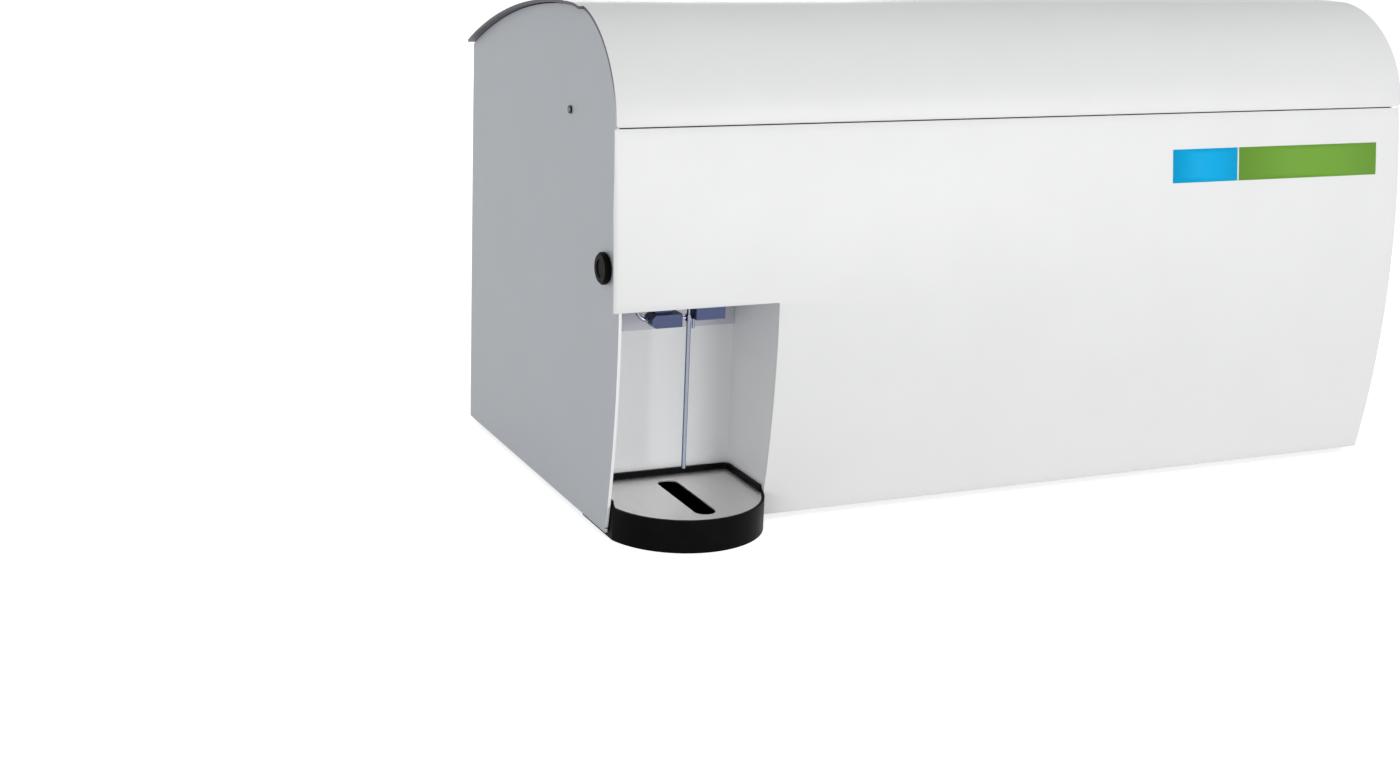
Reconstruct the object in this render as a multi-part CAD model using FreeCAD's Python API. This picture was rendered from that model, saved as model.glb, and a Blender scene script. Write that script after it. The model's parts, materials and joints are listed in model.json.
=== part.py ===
# Benchtop milk analyzer: a wide box with a curved front cover, a hinged curved hood and a
# sampling bay at the lower left, where a steel pipette hangs over a drip tray.
# Millimetres. +Z is up, the front faces -Y, and z = 0 is the bench that it stands on.
# The origin is under the middle of the overall length, width and depth.

import FreeCAD, Part
import math
import os

from FreeCAD import Vector

# Casing
casing_width = 936.0          # over the outer faces of the side panels
casing_depth = 448.0          # foremost point of the front cover to the rear panel
foot_height = 8.5
panel_thickness = 3.0         # side panels
cover_thickness = 3.0         # front cover and hood
cover_overhang = 7.0          # front cover and hood stand past each side panel by this
cover_gap = 1.1               # inside of the covers to the edges of the side panels
seam_gap = 2.0                # between front cover and hood
seam_height = 404.0           # middle of that seam
bulge_height = 212.0          # height of the foremost line of the front cover
front_radius = 1013.0
hood_front_depth = 109.6      # seam back to the highest line of the hood
hood_rise = 105.9             # seam up to that line
hood_roundness = 1.85         # exponent of the superellipse: 2 is an ellipse
hood_steps = 10               # spans of the curve through the front of the hood
roof_radius = 768.0
cover_drop = 2.1              # the front cover reaches below the side panels by this
cover_corner = 5.0
sheet = 2.0                   # base pan, rear panel
pan_flange = 18.0
bend_gap = 0.3                # between folded sheets that lie side by side
cover_reach = 60.0            # how far in front of the cover its clearance cut starts
cover_lip_depth = 12.0        # folded lip along the top of the front cover
cover_lip_drop = 2.0          # lip below the seam's edge
cover_lip_thickness = 2.0

# Sampling bay, drip tray and pipette
bay_width = 167.6             # outer face of the left panel to the face of the bay's right wall
bay_height = 231.5            # top of the cut-out in the front cover
bay_depth = 103.0             # foremost point of the front cover to the bay's back wall
bay_ceiling = 233.0           # just above the cut-out, so that no gap shows over its edge
bay_lip = 12.0                # upturned front edge of the ceiling
liner_thickness = 1.5
liner_hole_gap = 1.5          # round the tubes that pass the ceiling
tray_clearance = 0.8
tray_back_gap = 2.5
tray_front_radius = 84.5
tray_centre_setback = 38.0    # centre of the tray's front arc behind the foremost point
tray_height = 38.5
tray_front_height = 33.0      # the rim is lower round the front, level with the plate
tray_step_setback = 5.0       # the rim's step behind the corners of the tray's round front
tray_step_radius = 5.0
tray_wall = 3.0
tray_floor = 2.5
tray_corner = 7.0
plate_thickness = 1.5
plate_recess = 6.0            # top of the plate below the rim
plate_clearance = 0.4
ledge_width = 3.0             # under the edge of the plate
ledge_height = 2.5
slot_width = 22.0
slot_length = 110.0
slot_setback = 26.0           # middle of the slot behind the foremost point
pipette_inset = 86.5          # outer face of the left panel to the pipette
pipette_setback = 35.0
pipette_diameter = 4.6
pipette_wall = 0.6
pipette_chamfer = 0.5
pipette_tip = 59.5            # height of its lower end
pipette_top = 300.0
holder_rail_height = 46.0
holder_rail_thickness = 3.0

# Pipette holder under the bay's ceiling
holder_block_width = 32.0
holder_block_depth = 20.0
holder_block_height = 13.0
holder_block_drop = 12.5      # ceiling to the top of the left block
holder_chamfer = 4.0
holder_side_gap = 11.0        # left block to the pipette's axis
nozzle_block_width = 31.0
nozzle_block_height = 20.0
nozzle_side_gap = 3.5         # right block to the pipette's axis
rinse_tube_diameter = 3.0
rinse_tube_drop = 10.0
holder_stem_inset = 7.0       # the stem is narrower than the left block
clip_wall = 1.6               # ring round the pipette
clip_height = 6.0
clip_gap = 0.1
holder_rod_diameter = 2.5
supply_tube_diameter = 4.0
supply_tube_bend = 12.0
supply_tube_rise = 40.0       # its end above the ceiling

# Knobs, screws and feet
knob_diameter = 31.6
knob_thickness = 7.0
knob_chamfer = 2.0
knob_dish_depth = 1.0
knob_rim = 7.0
knob_height = 267.3
knob_setback = 38.0
knob_shaft_end = 6.0          # shaft past the ear that it clamps
knob_gap = 0.3                # knob to the face of the side panel
knob_shaft_diameter = 6.0
knob_shaft_gap = 0.25
ear_length = 62.0             # slotted ears of the front cover
ear_height = 30.0
ear_thickness = 2.5
ear_lap = 4.0                 # cut to the curve of the cover that it is welded to
screw_head_diameter = 8.0
screw_head_height = 2.0
screw_socket_diameter = 4.0
screw_socket_depth = 1.2
screw_shank_diameter = 4.0
screw_reach = 10.0            # side screws into the tie bar
screw_end = 4.0               # hole past a screw's end, or screw past its panel
tie_bar_setback = 142.0
tie_bar_height = 404.5
tie_bar_diameter = 16.0
foot_diameter = 30.0
foot_stud_radius = 4.0
foot_inset = 38.0
foot_taper = 1.5
foot_stud_reach = 5.0

# Hood hinges
hinge_spacing = 330.0
hinge_length = 66.0
hinge_leaf = 1.5
hinge_leaf_height = 26.0
hinge_barrel_radius = 4.0
hinge_pin_radius = 2.0
hinge_running_gap = 0.05
hinge_side_gap = 0.4
hood_rib_thickness = 2.0
hood_rib_depth = 14.0
hood_rib_inset = 14.0
hood_rib_start = 24.0         # degrees round the curve from the seam
hood_rib_end = 14.0           # the ribs stop in front of the rear panel

# Rear panel
fan_size = 92.0
fan_thickness = 25.0
fan_x = -150.0
fan_z = 300.0
fan_rim = 3.0                 # edge of its frame to the opening
fan_frame_back = 2.0
fan_shaft_radius = 3.0
fan_blade_lean = 55.0
fan_end_gap = 4.0             # blades to the ends of the frame
fan_tip_gap = 1.5
fan_hub_radius = 19.0
fan_blades = 7
fan_blade_thickness = 1.6
grille_wire = 2.0
grille_rings = 4
grille_reach = 3.0            # bars past the edge of the fan
connector_window_margin = 14.0   # edge of the rear panel's window to the fittings in it
connector_lap = 12.0          # the connector panel laps over the edge of that window
inlet_width = 48.0            # cut-out for the mains inlet
inlet_height = 27.0
inlet_x = 360.0
inlet_z = 70.0
fitting_gap = 0.3             # cut-out to the body of a fitting
fitting_depth = 22.0          # fittings reach behind their panel
inlet_flange_lap = 2.5
inlet_flange = 2.0
socket_width = 24.0
socket_height = 16.0
socket_depth = 16.0
socket_chamfer = 3.5
pin_spacing = 6.0
pin_thickness = 2.0
pin_height = 4.0
pin_length = 12.0
pin_offset = 2.0              # pins above and below the middle of the socket
switch_width = 13.0
switch_height = 19.0
switch_well_depth = 14.0
switch_well_gap = 0.4
switch_edge = 3.0             # switch to the edge of the cut-out
switch_swell = 3.2            # raised end of the rocker
switch_pivot_depth = 4.0
switch_pivot_radius = 1.5
port_x = 180.0
port_z = 70.0
port_width = 52.0             # cut-out for the data ports
port_height = 18.0
port_lip = 1.2
port_depth = 14.0
port_socket_height = 13.0
port_sockets = ((-14.0, 16.0), (3.5, 7.0), (16.5, 7.0))   # middle and width of each socket
hose_port_x = -330.0
hose_port_z = 60.0
hose_port_pitch = 30.0
hose_port_count = 3
hose_tail_length = 16.0
hose_body_radius = 5.0
hose_tail_radius = 3.0
hose_bore_radius = 1.8
hose_nut_radius = 9.0
hose_nut_length = 4.0
hose_barbs = 3
hose_barb_pitch = 3.5
hose_hole_gap = 0.2
panel_top_gap = 0.5           # rear panel to the line of the hood
vent_x = 250.0
vent_z = 320.0
vent_length = 60.0
vent_width = 4.0
vent_pitch = 12.0
vent_count = 9

# High-pressure pump: a ball screw pushes two plungers into the head
pump_x = -175.0
pump_front = 95.0             # head's front face behind the foremost point
pump_axis_height = 118.0
pump_width = 130.0
pump_base = 8.0
pump_wall = 12.0
pump_wall_rise = 40.0         # rear wall above the axis
pump_pedestal_inset = 20.0
pump_head_width = 100.0
pump_head_length = 55.0
pump_head_height = 52.0
pump_head_screw_inset = 9.0
outlet_nut_radius = 10.0
outlet_nut_length = 8.0
outlet_tube_radius = 3.2
outlet_tube_length = 10.0
valve_body_radius = 14.0
valve_body_height = 30.0
valve_neck_radius = 10.0
valve_neck_height = 14.0
valve_nut_radius = 16.0
valve_nut_height = 12.0
valve_nut_grips = 6
plunger_radius = 6.0
plunger_spacing = 50.0
plunger_bore_depth = 46.0
plunger_entry = 8.0           # plungers stand this far in the head at rest
plunger_gap = 0.05
plunger_stroke = 30.0
screw_radius = 7.0
screw_lead = 10.0             # travel of the crosshead for one turn of the screw
screw_front_gap = 6.0         # head to the screw's end
bearing_collar = 4.0
bearing_gap = 0.4
guide_radius = 5.0
guide_spacing = 96.0
crosshead_thickness = 26.0
crosshead_height = 34.0
crosshead_side = 12.0         # crosshead past the guide rods
crosshead_end_gap = 10.0      # head to crosshead at full stroke
crosshead_rear_gap = 14.0     # crosshead to the rear wall at rest
gear_module = 1.5
pinion_teeth = 16
gear_teeth = 48
gear_width = 9.0
gear_hole_count = 6
gear_hole_radius = 6.0
gear_hole_circle = 23.0
gear_hub = 6.0                # wall of the wheel's hub round the screw
gear_wall_gap = 2.0
gear_backlash = 0.5
gear_centre_gap = 0.3
motor_radius = 27.0
motor_length = 72.0
motor_shaft_radius = 4.0
motor_boss_radius = 7.5
motor_boss_length = 4.0
motor_cable_box = 16.0

# Peristaltic pump
peristaltic_inset = 80.0       # its middle to the inside of the left panel
peristaltic_setback = 190.0
peristaltic_height = 170.0
peristaltic_track = 24.0
peristaltic_wall = 9.0        # track to the outside of the housing
peristaltic_depth = 22.0
peristaltic_back = 4.0        # wall behind the track
peristaltic_bracket = 3.0
peristaltic_disc = 3.0
peristaltic_disc_gap = 1.0
peristaltic_hub_radius = 7.0
peristaltic_roller = 5.0
peristaltic_rollers = 3
peristaltic_pin_radius = 2.0
peristaltic_tube_wall = 1.65  # the tube lies pressed flat against the track
peristaltic_motor_radius = 21.0
peristaltic_motor_length = 46.0

# Optical bench
bench_inset = 50.0            # its edge to the inside of the right panel
bench_setback = 185.0
bench_width = 400.0
bench_depth = 250.0
bench_thickness = 14.0
bench_height = 120.0          # top of the optical bench
bench_corner = 10.0
isolator_inset = 30.0
isolator_radius = 14.0
isolator_height = 16.0
isolator_post_radius = 10.0
beam_height = 55.0            # optical axis above the bench
beam_radius = 20.0            # bores along the beam
splitter_half = 38.0
splitter_top = 32.0           # block above the optical axis
fixed_mirror_radius = 24.0
fixed_mirror_thickness = 10.0
fixed_mirror_foot = 8.0
fixed_mirror_half_width = 28.0
mirror_travel = 8.0
mirror_end_gap = 6.0
mirror_rail_radius = 4.0
mirror_rail_spacing = 36.0
mirror_rail_height = 12.0     # above the bench
mirror_rail_length = 94.0     # drive's outer face to the end block
mirror_drive_length = 34.0
mirror_drive_half = 26.0
mirror_drive_top = 24.0
mirror_end_block = 6.0
mirror_end_height = 20.0
voice_coil_radius = 9.0
voice_coil_gap = 0.4
voice_coil_entry = 18.0       # the shaft stands this far in the drive at rest
carriage_length = 24.0
carriage_foot_gap = 3.0
carriage_foot_rise = 19.0     # carriage's foot above the rods' axis
carriage_web = 12.0
carriage_disc_radius = 22.0
moving_mirror_radius = 20.0
moving_mirror_thickness = 3.0
source_width = 50.0
source_depth = 60.0
source_side_gap = 34.0        # source to the right edge of the bench
source_fin_length = 20.0
source_fin_thickness = 4.0
source_fins = 6
source_window_radius = 16.0
cell_width = 64.0
cell_depth = 24.0
cell_gap = 20.0               # beam splitter block to the sample cell
cell_window_radius = 13.0
cell_port_radius = 3.0
cell_port_length = 12.0
detector_width = 44.0
detector_depth = 22.0
detector_edge = 6.0
laser_radius = 15.0
laser_drop = 14.0             # laser's axis below the optical axis
laser_edge = 22.0
laser_cradle = 12.0

# Electronics
supply_inset = 45.0           # supply to the inside of the right panel
supply_width = 180.0
supply_depth = 95.0
supply_height = 62.0
supply_rear_gap = 27.0
supply_terminals = 7
supply_hole_radius = 3.0
supply_hole_pitch = 14.0
supply_cover_depth = 3.0      # the cover's holes are this deep
board_x = 50.0
board_bottom = 130.0
board_width = 240.0
board_height = 150.0
board_thickness = 1.6
board_spacer_length = 30.0
board_spacer_inset = 12.0
board_spacer_radius = 4.0
board_parts = (               # middle from the board's lower middle, width, height and thickness
    (-80.0, 90.0, 40.0, 40.0, 5.0), (-20.0, 100.0, 28.0, 28.0, 3.0), (30.0, 60.0, 60.0, 22.0, 12.0),
    (-70.0, 30.0, 70.0, 14.0, 9.0), (85.0, 110.0, 30.0, 50.0, 14.0), (85.0, 30.0, 40.0, 16.0, 11.0),
)

# Valves and sample heater
manifold_x = -60.0
manifold_setback = 150.0
manifold_width = 48.0
manifold_length = 120.0
manifold_height = 42.0
valve_count = 4
valve_pitch = 28.0
valve_radius = 11.0
valve_height = 42.0
heater_inset = 80.0           # its middle to the inside of the left panel
heater_setback = 330.0
heater_radius = 22.0
heater_height = 90.0
heater_fins = 6
heater_fin_radius = 32.0
heater_fin_thickness = 4.0
heater_fin_pitch = 12.0

# Places worked out from the sizes above
rear_reach = hose_tail_length
tray_reach = tray_front_radius - tray_centre_setback
front = tray_reach - (tray_reach + casing_depth + rear_reach) / 2
rear = front + casing_depth
left = -casing_width / 2
right = casing_width / 2
inner_left = left + panel_thickness
inner_right = right - panel_thickness
cover_left = left - cover_overhang
cover_right = right + cover_overhang
bottom = foot_height
floor = bottom + sheet
inset = cover_thickness + cover_gap
arc_y = front + front_radius
seam_y = arc_y - math.sqrt(front_radius ** 2 - (seam_height - bulge_height) ** 2)
apex_y = seam_y + hood_front_depth
apex_z = seam_height + hood_rise
roof_z = apex_z - roof_radius
bay_right = left + bay_width
bay_back = front + bay_depth
pipette_x = left + pipette_inset
pipette_y = front + pipette_setback
connector_face = rear + sheet
peristaltic_x = inner_left + peristaltic_inset
heater_x = inner_left + heater_inset
bench_x = inner_right - bench_inset - bench_width / 2
supply_x = inner_right - supply_inset - supply_width / 2
panel_top_rear = roof_z + math.sqrt((roof_radius - inset) ** 2 - (rear - apex_y) ** 2)


def box(x0, x1, y0, y1, z0, z1):
    return Part.makeBox(x1 - x0, y1 - y0, z1 - z0, Vector(x0, y0, z0))


def rod(axis, a, b, radius, start, end):
    """A cylinder along X, Y or Z; a and b are its place on the other two axes, in order."""
    if axis == "X":
        base, direction = Vector(start, a, b), Vector(1, 0, 0)
    elif axis == "Y":
        base, direction = Vector(a, start, b), Vector(0, 1, 0)
    else:
        base, direction = Vector(a, b, start), Vector(0, 0, 1)
    return Part.makeCylinder(radius, end - start, base, direction)


def fuse(shapes):
    whole = shapes[0].multiFuse(shapes[1:]) if len(shapes) > 1 else shapes[0]
    return whole.removeSplitter()


def prism(points, direction):
    wire = Part.makePolygon(points + [points[0]])
    return Part.Face(wire).extrude(direction)


def front_face_y(z, depth):
    """Where the front cover's face lies at a height, for a surface this deep inside it."""
    return arc_y - math.sqrt((front_radius - depth) ** 2 - (z - bulge_height) ** 2)


def hood_point(turn, depth):
    """A point of the hood's superellipse, moved inwards along its normal."""
    u = math.cos(turn) ** (2 / hood_roundness)
    w = math.sin(turn) ** (2 / hood_roundness)
    slope_u = u ** (hood_roundness - 1) / hood_front_depth
    slope_w = w ** (hood_roundness - 1) / hood_rise
    size = math.hypot(slope_u, slope_w)
    y = seam_y + hood_front_depth * (1 - u) + depth * slope_u / size
    z = seam_height + hood_rise * w - depth * slope_w / size
    return Vector(0, y, z)


def hood_curve(depth, start_turn):
    """The hood's outline from a place near its front edge to the rear panel, as two edges."""
    turns = [start_turn + (math.pi / 2 - start_turn) * i / hood_steps for i in range(hood_steps + 1)]
    curve = Part.BSplineCurve()
    curve.interpolate([hood_point(turn, depth) for turn in turns])
    radius = roof_radius - depth
    middle_y = (apex_y + rear) / 2
    roof = [Vector(0, y, roof_z + math.sqrt(radius ** 2 - (y - apex_y) ** 2)) for y in (middle_y, rear)]
    arc = Part.Arc(hood_point(math.pi / 2, depth), roof[0], roof[1])
    return [curve.toShape(), arc.toShape()]


def front_curve(depth, z0, z1):
    low, middle, high = (Vector(0, front_face_y(z, depth), z) for z in (z0, (z0 + z1) / 2, z1))
    return Part.Arc(low, middle, high).toShape()


def closed_sheet(outer, inner, x0, x1):
    """A curved sheet: two chains of edges in the YZ plane, closed at both ends, run along X."""
    first = Part.makeLine(outer[0].Vertexes[0].Point, inner[0].Vertexes[0].Point)
    last = Part.makeLine(outer[-1].Vertexes[-1].Point, inner[-1].Vertexes[-1].Point)
    wire = Part.Wire(Part.__sortEdges__(outer + inner + [first, last]))
    face = Part.Face(wire)
    face.translate(Vector(x0, 0, 0))
    return face.extrude(Vector(x1 - x0, 0, 0))


def fillet_at(shape, radius, test):
    edges = [edge for edge in shape.Edges if test(edge)]
    return shape.makeFillet(radius, edges) if edges else shape


def along(edge, axis, *near):
    """True for a straight edge along an axis that passes close to a place on the other two."""
    if len(edge.Vertexes) != 2:
        return False
    a, b = (vertex.Point for vertex in edge.Vertexes)
    others = [i for i in range(3) if i != "XYZ".index(axis)]
    return all(abs(a[i] - value) < 0.01 and abs(b[i] - value) < 0.01 for i, value in zip(others, near))


def socket_screw(axis, a, b, face, outward, shank, head_radius, head_height, shank_radius):
    """A cap screw whose head stands on a face; outward is +1 or -1 along the axis."""
    tip = face + outward * head_height
    head = rod(axis, a, b, head_radius, min(face, tip), max(face, tip))
    deep = face + outward * (head_height - screw_socket_depth)
    socket = rod(axis, a, b, screw_socket_diameter / 2, min(deep, tip), max(deep, tip))
    end = face - outward * shank
    body = rod(axis, a, b, shank_radius, min(face, end), max(face, end))
    return fuse([head, body]).cut(socket)


def side_panel(x0, x1):
    """A side panel follows the covers at the same depth all the way round."""
    start = hood_point(0, inset)
    corner = Vector(0, front_face_y(bottom, inset), bottom)
    middle_z = (bottom + start.z) / 2
    middle = Vector(0, front_face_y(middle_z, inset), middle_z)
    front_edge = Part.Arc(corner, middle, start).toShape()
    curve = hood_curve(inset, 0)
    rear_top = curve[-1].Vertexes[-1].Point
    rear_low = Vector(0, rear, bottom)
    back = Part.makeLine(rear_top, rear_low)
    base = Part.makeLine(rear_low, corner)
    wire = Part.Wire(Part.__sortEdges__([front_edge] + curve + [back, base]))
    face = Part.Face(wire)
    face.translate(Vector(x0, 0, 0))
    panel = face.extrude(Vector(x1 - x0, 0, 0))
    panel = fillet_at(panel, cover_corner, lambda e: along(e, "X", corner.y, bottom))
    cuts = [
        rod("X", front + knob_setback, knob_height, knob_shaft_diameter / 2 + knob_shaft_gap, x0, x1),
        rod("X", front + tie_bar_setback, tie_bar_height, screw_shank_diameter / 2 + 0.1, x0, x1),
    ]
    for cut in cuts:
        panel = panel.cut(cut)
    return panel


def side_panels():
    return {
        "left_side_panel": side_panel(left, inner_left),
        "right_side_panel": side_panel(inner_right, right),
    }


def knob_places():
    """Each knob's side: the outer face of its panel and the direction away from the casing."""
    return {"left": (left, -1), "right": (right, 1)}


def front_cover():
    low = bottom - cover_drop
    high = seam_height - seam_gap / 2
    outer = [front_curve(0, low, high)]
    inner = [front_curve(cover_thickness, low, high)]
    cover = closed_sheet(outer, inner, cover_left, cover_right)
    cover = cover.cut(box(cover_left - 1, bay_right, front - 1, rear, low - 1, bay_height))
    lip_y = front_face_y(high, cover_thickness)
    lip_top = high - cover_lip_drop
    lip = box(inner_left + bend_gap, inner_right - bend_gap, lip_y - 1, lip_y + cover_lip_depth,
              lip_top - cover_lip_thickness, lip_top)
    return {"front_cover": fuse([cover, lip] + cover_ears())}


def cover_ears():
    """Ears welded behind the cover, with slots open to the rear: a loosened knob lets them go."""
    ears = []
    for face, way in knob_places().values():
        a = face - way * (panel_thickness + bend_gap)
        b = a - way * ear_thickness
        x0, x1 = min(a, b), max(a, b)
        low, high = knob_height - ear_height / 2, knob_height + ear_height / 2
        ear_front = front_face_y(knob_height, cover_thickness)
        ear = box(x0, x1, ear_front - ear_lap, ear_front + ear_length, low, high)
        ear = ear.cut(cover_back(x0 - 1, x1 + 1, low - 1, high + 1))
        half = knob_shaft_diameter / 2 + knob_shaft_gap
        y = front + knob_setback
        slot = box(x0 - 1, x1 + 1, y, ear_front + ear_length + 1, knob_height - half, knob_height + half)
        ears.append(ear.cut(slot).cut(rod("X", y, knob_height, half, x0 - 1, x1 + 1)))
    return ears


def cover_back(x0, x1, z0, z1):
    """The space that the front cover's sheet fills, to cut what is fixed behind it to its curve."""
    outer = [front_curve(-cover_reach, z0, z1)]
    inner = [front_curve(cover_thickness, z0, z1)]
    return closed_sheet(outer, inner, x0, x1)


def hood():
    turn = seam_gap / 2 / hood_rise
    start = math.asin(turn ** (hood_roundness / 2))
    sheet_body = closed_sheet(hood_curve(0, start), hood_curve(cover_thickness, start), cover_left, cover_right)
    low = hood_point(start, 0)
    sheet_body = fillet_at(
        sheet_body, cover_corner,
        lambda e: along(e, "Y", cover_left, low.z) or along(e, "Y", cover_right, low.z))
    return {"hood": fuse([sheet_body] + hood_ribs())}


def hood_ribs():
    """Two stiffeners welded under the hood, which follow its curve just inside the side panels."""
    start = math.radians(hood_rib_start)
    depth = cover_thickness + hood_rib_depth
    ribs = []
    for side in (-1, 1):
        x = side * (casing_width / 2 - panel_thickness - hood_rib_inset)
        x0, x1 = x - hood_rib_thickness / 2, x + hood_rib_thickness / 2
        rib = closed_sheet(hood_curve(cover_thickness, start), hood_curve(depth, start), x0, x1)
        ribs.append(rib.cut(box(x0 - 1, x1 + 1, rear - hood_rib_end, rear + 9, 0, apex_z)))
    return ribs


def hood_rear_z(depth):
    return roof_z + math.sqrt((roof_radius - depth) ** 2 - (rear - apex_y) ** 2)


def hinge_places():
    """Along X, and the axis of the hinge pins: behind the rear panel, level with the hood's edge."""
    y = rear + hinge_barrel_radius + hinge_side_gap
    z = hood_rear_z(cover_thickness) - hinge_side_gap
    return [-hinge_spacing, 0, hinge_spacing], y, z


def hinges():
    xs, y, z = hinge_places()
    third = hinge_length / 3
    bore = hinge_pin_radius + hinge_running_gap
    fixed, moving = [], []
    for x in xs:
        x0, x1 = x - hinge_length / 2, x + hinge_length / 2
        leaf = box(x0, x1, rear, rear + hinge_leaf, z - hinge_leaf_height, z)
        leaf = leaf.fuse(box(x0, x1, rear, y, z - hinge_barrel_radius, z - hinge_barrel_radius + hinge_leaf))
        barrel = rod("X", y, z, hinge_barrel_radius, x0, x1)
        gap = box(x0 + third, x1 - third, rear - 1, y + 9, z - hinge_barrel_radius - 2, z + 9)
        pin = rod("X", y, z, hinge_pin_radius, x0 - 1, x1 + 1)
        fixed.append(fuse([leaf.fuse(barrel).cut(gap), pin]))
        m0, m1 = x0 + third + hinge_side_gap, x1 - third - hinge_side_gap
        knuckle = rod("X", y, z, hinge_barrel_radius, m0, m1)
        top = hood_rear_z(0)
        arm = box(m0, m1, rear, rear + hinge_leaf, z + hinge_side_gap, top)
        arm = arm.fuse(box(m0, m1, rear, y, z + hinge_barrel_radius - hinge_leaf, z + hinge_barrel_radius))
        moving.append(fuse([knuckle, arm]).cut(rod("X", y, z, bore, m0 - 1, m1 + 1)))
    return {"fixed_hinge_leaves": Part.makeCompound(fixed), "hood_hinge_leaves": Part.makeCompound(moving)}


def pan_front(x):
    """The base pan's front edge lies just behind the front cover, and behind the bay beside it."""
    if x < bay_right + liner_thickness:
        return bay_back + liner_thickness + bend_gap
    return front_face_y(bottom, cover_thickness) + cover_gap


def base_pan():
    x0, x1 = inner_left + bend_gap, inner_right - bend_gap
    notch_x = bay_right + liner_thickness + bend_gap
    y0, y1, y2 = pan_front(right), pan_front(left), rear - sheet - bend_gap
    top = floor + pan_flange
    pan = box(x0, x1, y0, y2, bottom, top).cut(box(x0 - 1, notch_x, y0 - 1, y1, 0, top + 1))
    hollow = box(x0 + sheet, x1 - sheet, y1 + sheet, y2 - sheet, floor, top + 1)
    hollow = hollow.fuse(box(notch_x + sheet, x1 - sheet, y0 + sheet, y2 - sheet, floor, top + 1))
    pan = pan.cut(hollow)
    for x, y in foot_places():
        pan = pan.cut(rod("Z", x, y, foot_stud_radius, bottom - 1, floor + 1))
    return {"base_pan": pan.removeSplitter()}


def foot_places():
    y_back = rear - foot_inset
    y_front = pan_front(right) + foot_inset
    return [
        (left + foot_inset, bay_back + foot_inset), (right - foot_inset, y_front),
        (left + foot_inset, y_back), (right - foot_inset, y_back), (bay_right + foot_inset, y_front),
    ]


def feet():
    shapes = []
    for x, y in foot_places():
        foot = Part.makeCone(foot_diameter / 2 - foot_taper, foot_diameter / 2, bottom, Vector(x, y, 0))
        stud = rod("Z", x, y, foot_stud_radius, bottom, floor + foot_stud_reach)
        shapes.append(fuse([foot, stud]))
    return {"feet": Part.makeCompound(shapes)}


def bay_liner():
    """One folded sheet: right wall, back wall and ceiling of the sampling bay."""
    x0, x1 = inner_left + bend_gap, bay_right
    y0 = front_face_y(bay_ceiling, inset) + liner_thickness
    low = bottom
    outer = box(x0, x1 + liner_thickness, front, bay_back + liner_thickness, low, bay_ceiling + liner_thickness)
    hollow = box(x0 - 1, x1, front - 1, bay_back, low - 1, bay_ceiling)
    liner = outer.cut(hollow)
    lip = box(x0, x1, y0, y0 + liner_thickness, bay_ceiling, bay_ceiling + bay_lip)
    liner = liner.cut(cover_back(x0 - 1, x1 + 9, 1, bay_ceiling + bay_lip))
    liner = liner.cut(box(x0 - 1, x1, front - 1, y0, bay_ceiling - 1, bay_ceiling + bay_lip)).fuse(lip)
    for (x, y), diameter in (((pipette_x, pipette_y), pipette_diameter), (supply_hole(), supply_tube_diameter)):
        liner = liner.cut(rod("Z", x, y, diameter / 2 + liner_hole_gap, bay_ceiling - 1, bay_ceiling + 9))
    return {"bay_liner": liner.removeSplitter()}


def holder_x():
    """Right face of the left block, and left face of the right block."""
    return pipette_x - holder_side_gap, pipette_x + nozzle_side_gap


def supply_hole():
    return holder_x()[0] - holder_block_width - supply_tube_bend, pipette_y


def pipette_holder():
    """Two dark blocks hang from the ceiling on short stems; a rod reaches from the left to the tube."""
    block_right, nozzle_left = holder_x()
    block_left = block_right - holder_block_width
    top = bay_ceiling - holder_block_drop
    low = top - holder_block_height
    y0, y1 = pipette_y - holder_block_depth / 2, pipette_y + holder_block_depth / 2
    block = box(block_left, block_right, y0, y1, low, top)
    block = block.makeChamfer(holder_chamfer, [
        e for e in block.Edges if along(e, "Y", block_left, low) or along(e, "Y", block_left, top)])
    stem = box(block_left + holder_stem_inset, block_right - holder_stem_inset, pipette_y, y1, top - 1, bay_ceiling)
    nozzle_right = nozzle_left + nozzle_block_width
    nozzle = box(nozzle_left, nozzle_right, y0, y1, bay_ceiling - nozzle_block_height, bay_ceiling)
    reach = pipette_x - pipette_diameter / 2 - clip_gap
    link_z = low + holder_block_height / 2
    link = rod("X", pipette_y, link_z, holder_rod_diameter / 2, block_right, reach)
    clip = rod("Z", pipette_x, pipette_y, pipette_diameter / 2 + clip_wall, link_z - clip_height / 2,
               link_z + clip_height / 2)
    clip = clip.cut(rod("Z", pipette_x, pipette_y, pipette_diameter / 2, link_z - clip_height, link_z + clip_height))
    clip = clip.cut(box(nozzle_left - bend_gap, nozzle_right, y0, y1, low - 9, bay_ceiling))
    return {
        "left_holder_block": fuse([block, stem]),
        "nozzle_block": nozzle,
        "pipette_clip": fuse([link, clip]),
    }


def holder_rail():
    """A thicker strip along the top of the back wall, which stiffens the bay under its ceiling."""
    rail = box(inner_left + bend_gap, bay_right - bend_gap, bay_back - holder_rail_thickness, bay_back,
               bay_ceiling - holder_rail_height, bay_ceiling)
    return {"holder_rail": rail}


def pipette():
    outer = rod("Z", pipette_x, pipette_y, pipette_diameter / 2, pipette_tip, pipette_top)
    outer = outer.makeChamfer(pipette_chamfer, [e for e in outer.Edges if e.BoundBox.ZMax < pipette_tip + 0.01])
    bore = rod("Z", pipette_x, pipette_y, pipette_diameter / 2 - pipette_wall, pipette_tip - 1, pipette_top + 1)
    return {"pipette": outer.cut(bore)}


def holder_tubes():
    return {"holder_tubes": Part.makeCompound([rinse_tube(), supply_tube()])}


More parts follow.
